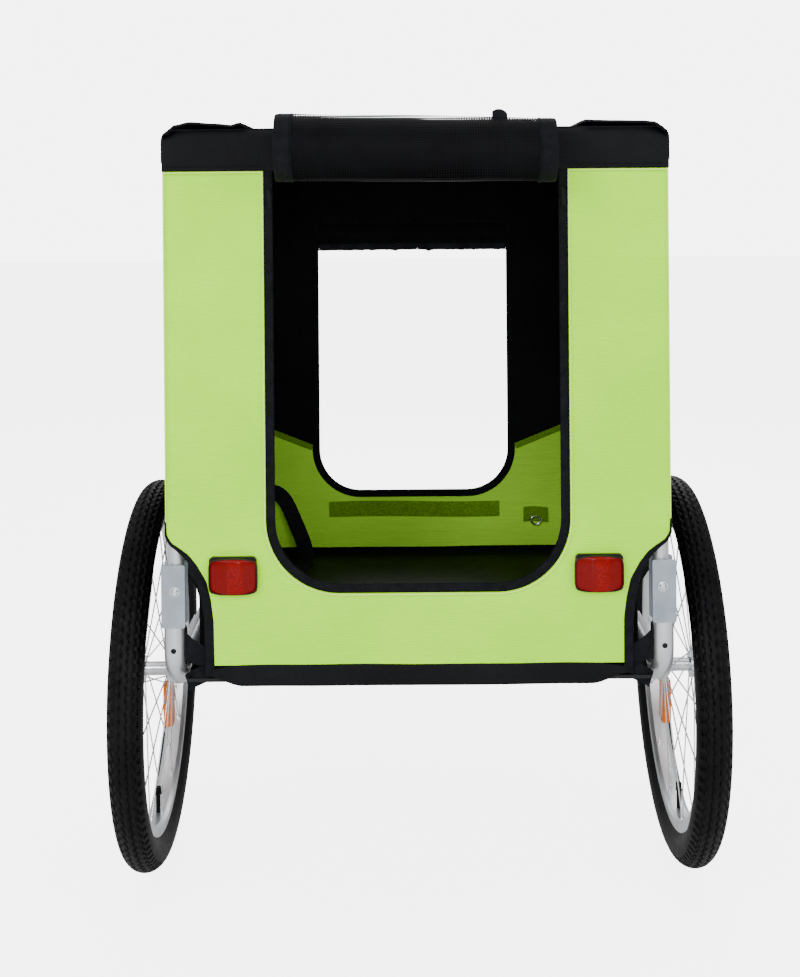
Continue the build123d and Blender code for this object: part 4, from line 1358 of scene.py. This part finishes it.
class TRAILER_OT_metalwork(bpy.types.Operator):
    """Finishes of the tubes, brackets, hubs, spokes and hitch, with socket bolts and webbing loops"""
    bl_idname = "trailer.metalwork"
    bl_label = "Metalwork"

    def execute(self, context):
        finishes = {
            "silver_paint": "silver_paint", "grey_steel": "grey_bracket", "zinc_steel": "bright_zinc",
            "rim_alloy": "rim_alloy", "black_rubber": "tyre_rubber", "floor_board": "hard_plastic",
            "black_plastic": "hard_plastic", "orange_reflector": "orange_reflector",
            "tyre_rubber": "tyre_rubber", "black_cloth": "black_cloth", "green_cloth": "cabin_cloth",
            "black_mesh": "roll_core", "black_webbing": "webbing", "velcro_green": "loop_tape",
            "red_reflector": "red_reflector",
        }
        slots = {part["node"]: part["material_slot"] for part in frame["record"]["subparts"]}
        for node, piece in frame["nodes"].items():
            piece.data.materials.clear()
            piece.data.materials.append(material(finishes[slots[node]]))

        bolts = []
        for name, side in SIDES.items():
            bracket_low, bracket_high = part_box(f"fold_brackets_{name}")
            pivot = next(j for j in frame["joints"] if j["name"] == f"{name}_fold")["pos_m"]
            for face_y, out in ((bracket_low.y, -1), (bracket_high.y, 1)):
                far = face_y - out * 0.0260
                stations = [
                    (face_y + out * 0.0006, 0.0001, True), (face_y + out * 0.0008, 0.0027, True),
                    (face_y + out * 0.0044, 0.0028, True), (face_y + out * 0.0042, 0.0036, False),
                    (face_y + out * 0.0030, 0.0047, False), (face_y + out * 0.0012, 0.0047, False),
                    (face_y + out * 0.0012, 0.0060, False), (face_y, 0.0062, False),
                    (face_y, 0.0029, False), (far, 0.0029, False), (far, 0.0058, False),
                    (far - out * 0.0010, 0.0058, False), (far - out * 0.0010, 0.0050, True),
                    (far - out * 0.0040, 0.0050, True), (far - out * 0.0042, 0.0001, True),
                ]
                bolts.append(turned_bolt("bolt", pivot[0], pivot[2], stations))
        dress(join("socket_bolts", bolts), "bright_zinc", "root", ["pivot_bolts"], 30)

        loops = []
        for name, side in SIDES.items():
            tube_low, tube_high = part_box(f"side_tube_{name}")
            tube_x = (tube_low.x + tube_high.x) / 2
            tube_y = tube_low.y + 0.0125
            wrap_r = 0.0138
            z_panel, z_tube = 0.345, 0.357
            half_panel, half_tube = 0.010, 0.021
            path, widths, normals = [], [], []
            for t in steps(8):
                path.append(Vector((
                    lerp(side * 0.2495, tube_x - side * wrap_r * 0.9, t),
                    lerp(REAR_Y + 0.0035, tube_y - 0.006, t) - 0.0035 * math.sin(math.pi * t),
                    lerp(z_panel, z_tube, t),
                )))
                widths.append(UP * lerp(half_panel, half_tube * 0.85, t))
                normals.append(REARWARD)
            for t in steps(16)[1:]:
                angle = lerp(math.radians(205), math.radians(118), t)
                out = Vector((side * math.cos(angle), math.sin(angle), 0))
                path.append(Vector((tube_x, tube_y, z_tube + 0.001 * t)) + out * wrap_r)
                widths.append(UP * half_tube)
                normals.append(out)
            loops.append(round_tape("loop_webbing", path, widths, normals, 0.0020))
            low_path = [
                Vector((side * 0.249, REAR_Y + 0.006, 0.327)), Vector((side * 0.258, REAR_Y + 0.004, 0.323)),
                Vector((side * 0.268, REAR_Y + 0.006, 0.318)), Vector((side * 0.2745, REAR_Y + 0.012, 0.312)),
            ]
            low_path = along_arc(low_path, 14)
            half = Vector((side * 0.003, 0, 0.0095))
            loops.append(flat_tape("low_webbing", low_path, half, REARWARD, 0.0022))
        dress(join("corner_webbings", loops), "end_tape", "root")

        loops = []
        loop_low, loop_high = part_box("frame_loops")
        wrap_r = 0.0137
        for name in SIDES:
            tube_low, tube_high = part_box(f"side_tube_{name}")
            x = (tube_low.x + tube_high.x) / 2
            z = tube_low.z + 0.0125
            for y in (loop_low.y + 0.012, loop_high.y - 0.012):
                ring = []
                for k in range(40):
                    angle = 2 * math.pi * k / 40
                    ring.append(Vector((x + wrap_r * math.cos(angle), y, z + wrap_r * math.sin(angle))))
                ring.append(ring[0])
                normals = [(p - Vector((x, y, z))).normalized() for p in ring]
                widths = [Vector((0, 0.012, 0))] * len(ring)
                loops.append(round_tape("floor_loop", ring, widths, normals, 0.0018))
        dress(join("floor_loops", loops), "webbing", "root", ["frame_loops"])
        return {"FINISHED"}


class TRAILER_OT_stage(bpy.types.Operator):
    """Pale floor, soft studio lights and the camera"""
    bl_idname = "trailer.stage"
    bl_label = "Studio"

    def execute(self, context):
        clear_selection()
        bpy.ops.mesh.primitive_plane_add(size=30, location=(0, 0, 0))
        ground = start_piece("studio_floor")
        made = Finish("studio_floor", tuple(colours().floor), 0.65)
        made.tint(made.noise(0.6), scaled(tuple(colours().floor), 0.985), tuple(colours().floor))
        path = made.node("ShaderNodeLightPath")
        glow = made.spread(path.outputs["Is Camera Ray"], 0.0, 4.6)
        made.links.new(glow, made.shader.inputs["Emission Strength"])
        made.shader.inputs["Emission Color"].default_value = (1, 1, 1, 1)
        ground.data.materials.append(made.mat)

        world = bpy.data.worlds.new("studio")
        world.use_nodes = True
        tree = world.node_tree
        sky = tree.nodes["Background"]
        sky.inputs[0].default_value = (1, 1, 1, 1)
        path = tree.nodes.new("ShaderNodeLightPath")
        shown = tree.nodes.new("ShaderNodeMapRange")
        shown.inputs["To Min"].default_value = 0.72
        shown.inputs["To Max"].default_value = 6.0
        tree.links.new(path.outputs["Is Camera Ray"], shown.inputs["Value"])
        tree.links.new(shown.outputs[0], sky.inputs[1])
        context.scene.world = world
        lights = (
            ("key", (-1.3, REAR_Y - 2.3, 1.9), 46, 1.4), ("fill", (1.5, REAR_Y - 2.1, 1.6), 24, 1.4),
            ("front", (0.0, REAR_Y - 2.6, 1.05), 26, 0.8), ("top", (0, -0.2, 3.2), 30, 2.4),
            ("back", (0.3, 2.4, 2.0), 30, 2.0),
        )
        for name, place, power, size in lights:
            data = bpy.data.lights.new(name, "AREA")
            data.energy = power
            data.size = size
            lamp = bpy.data.objects.new(name, data)
            lamp.location = place
            aim = Vector((0, -0.2, 0.5)) - Vector(place)
            lamp.rotation_euler = aim.to_track_quat("-Z", "Y").to_euler()
            context.scene.collection.objects.link(lamp)

        axle_y = (WHEELS["left"][0].y + WHEELS["left"][1].y) / 2
        data = bpy.data.cameras.new("camera")
        data.lens = sizes().camera_lens
        data.shift_y = -0.3123
        camera = bpy.data.objects.new("camera", data)
        camera_x, camera_back, camera_z = -0.01805, 1.94675, 0.9011
        camera_roll = 0.0084
        camera.location = (camera_x, axle_y - camera_back, camera_z)
        camera.rotation_euler = (math.pi / 2, camera_roll, 0)
        context.scene.collection.objects.link(camera)
        context.scene.camera = camera
        return {"FINISHED"}


OPERATORS = (
    TRAILER_OT_stage, TRAILER_OT_metalwork, TRAILER_OT_rear_wall, TRAILER_OT_front_wall, TRAILER_OT_roof,
    TRAILER_OT_side_walls, TRAILER_OT_rolled_doors, TRAILER_OT_reflectors, TRAILER_OT_floor, TRAILER_OT_tyres,
)


class TRAILER_PT_panel(bpy.types.Panel):
    """Settings and operators of the trailer"""
    bl_idname = "TRAILER_PT_panel"
    bl_label = "Trailer"
    bl_space_type = "VIEW_3D"
    bl_region_type = "UI"
    bl_category = "Trailer"

    def draw(self, context):
        for group in (context.scene.trailer_sizes, context.scene.trailer_colours):
            for name in group.bl_rna.properties.keys():
                if name not in ("rna_type", "name"):
                    self.layout.prop(group, name)
        for operator in OPERATORS:
            self.layout.operator(operator.bl_idname)


CLASSES = (TrailerSizes, TrailerColours, *OPERATORS, TRAILER_PT_panel)


def register():
    for cls in CLASSES:
        bpy.utils.register_class(cls)
    bpy.types.Scene.trailer_sizes = bpy.props.PointerProperty(type=TrailerSizes)
    bpy.types.Scene.trailer_colours = bpy.props.PointerProperty(type=TrailerColours)


def unregister():
    del bpy.types.Scene.trailer_sizes
    del bpy.types.Scene.trailer_colours
    for cls in reversed(CLASSES):
        bpy.utils.unregister_class(cls)


def main():
    register()
    for operator in OPERATORS:
        name = operator.bl_idname.split(".")[1]
        getattr(bpy.ops.trailer, name)()


if __name__ == "__main__":
    main()
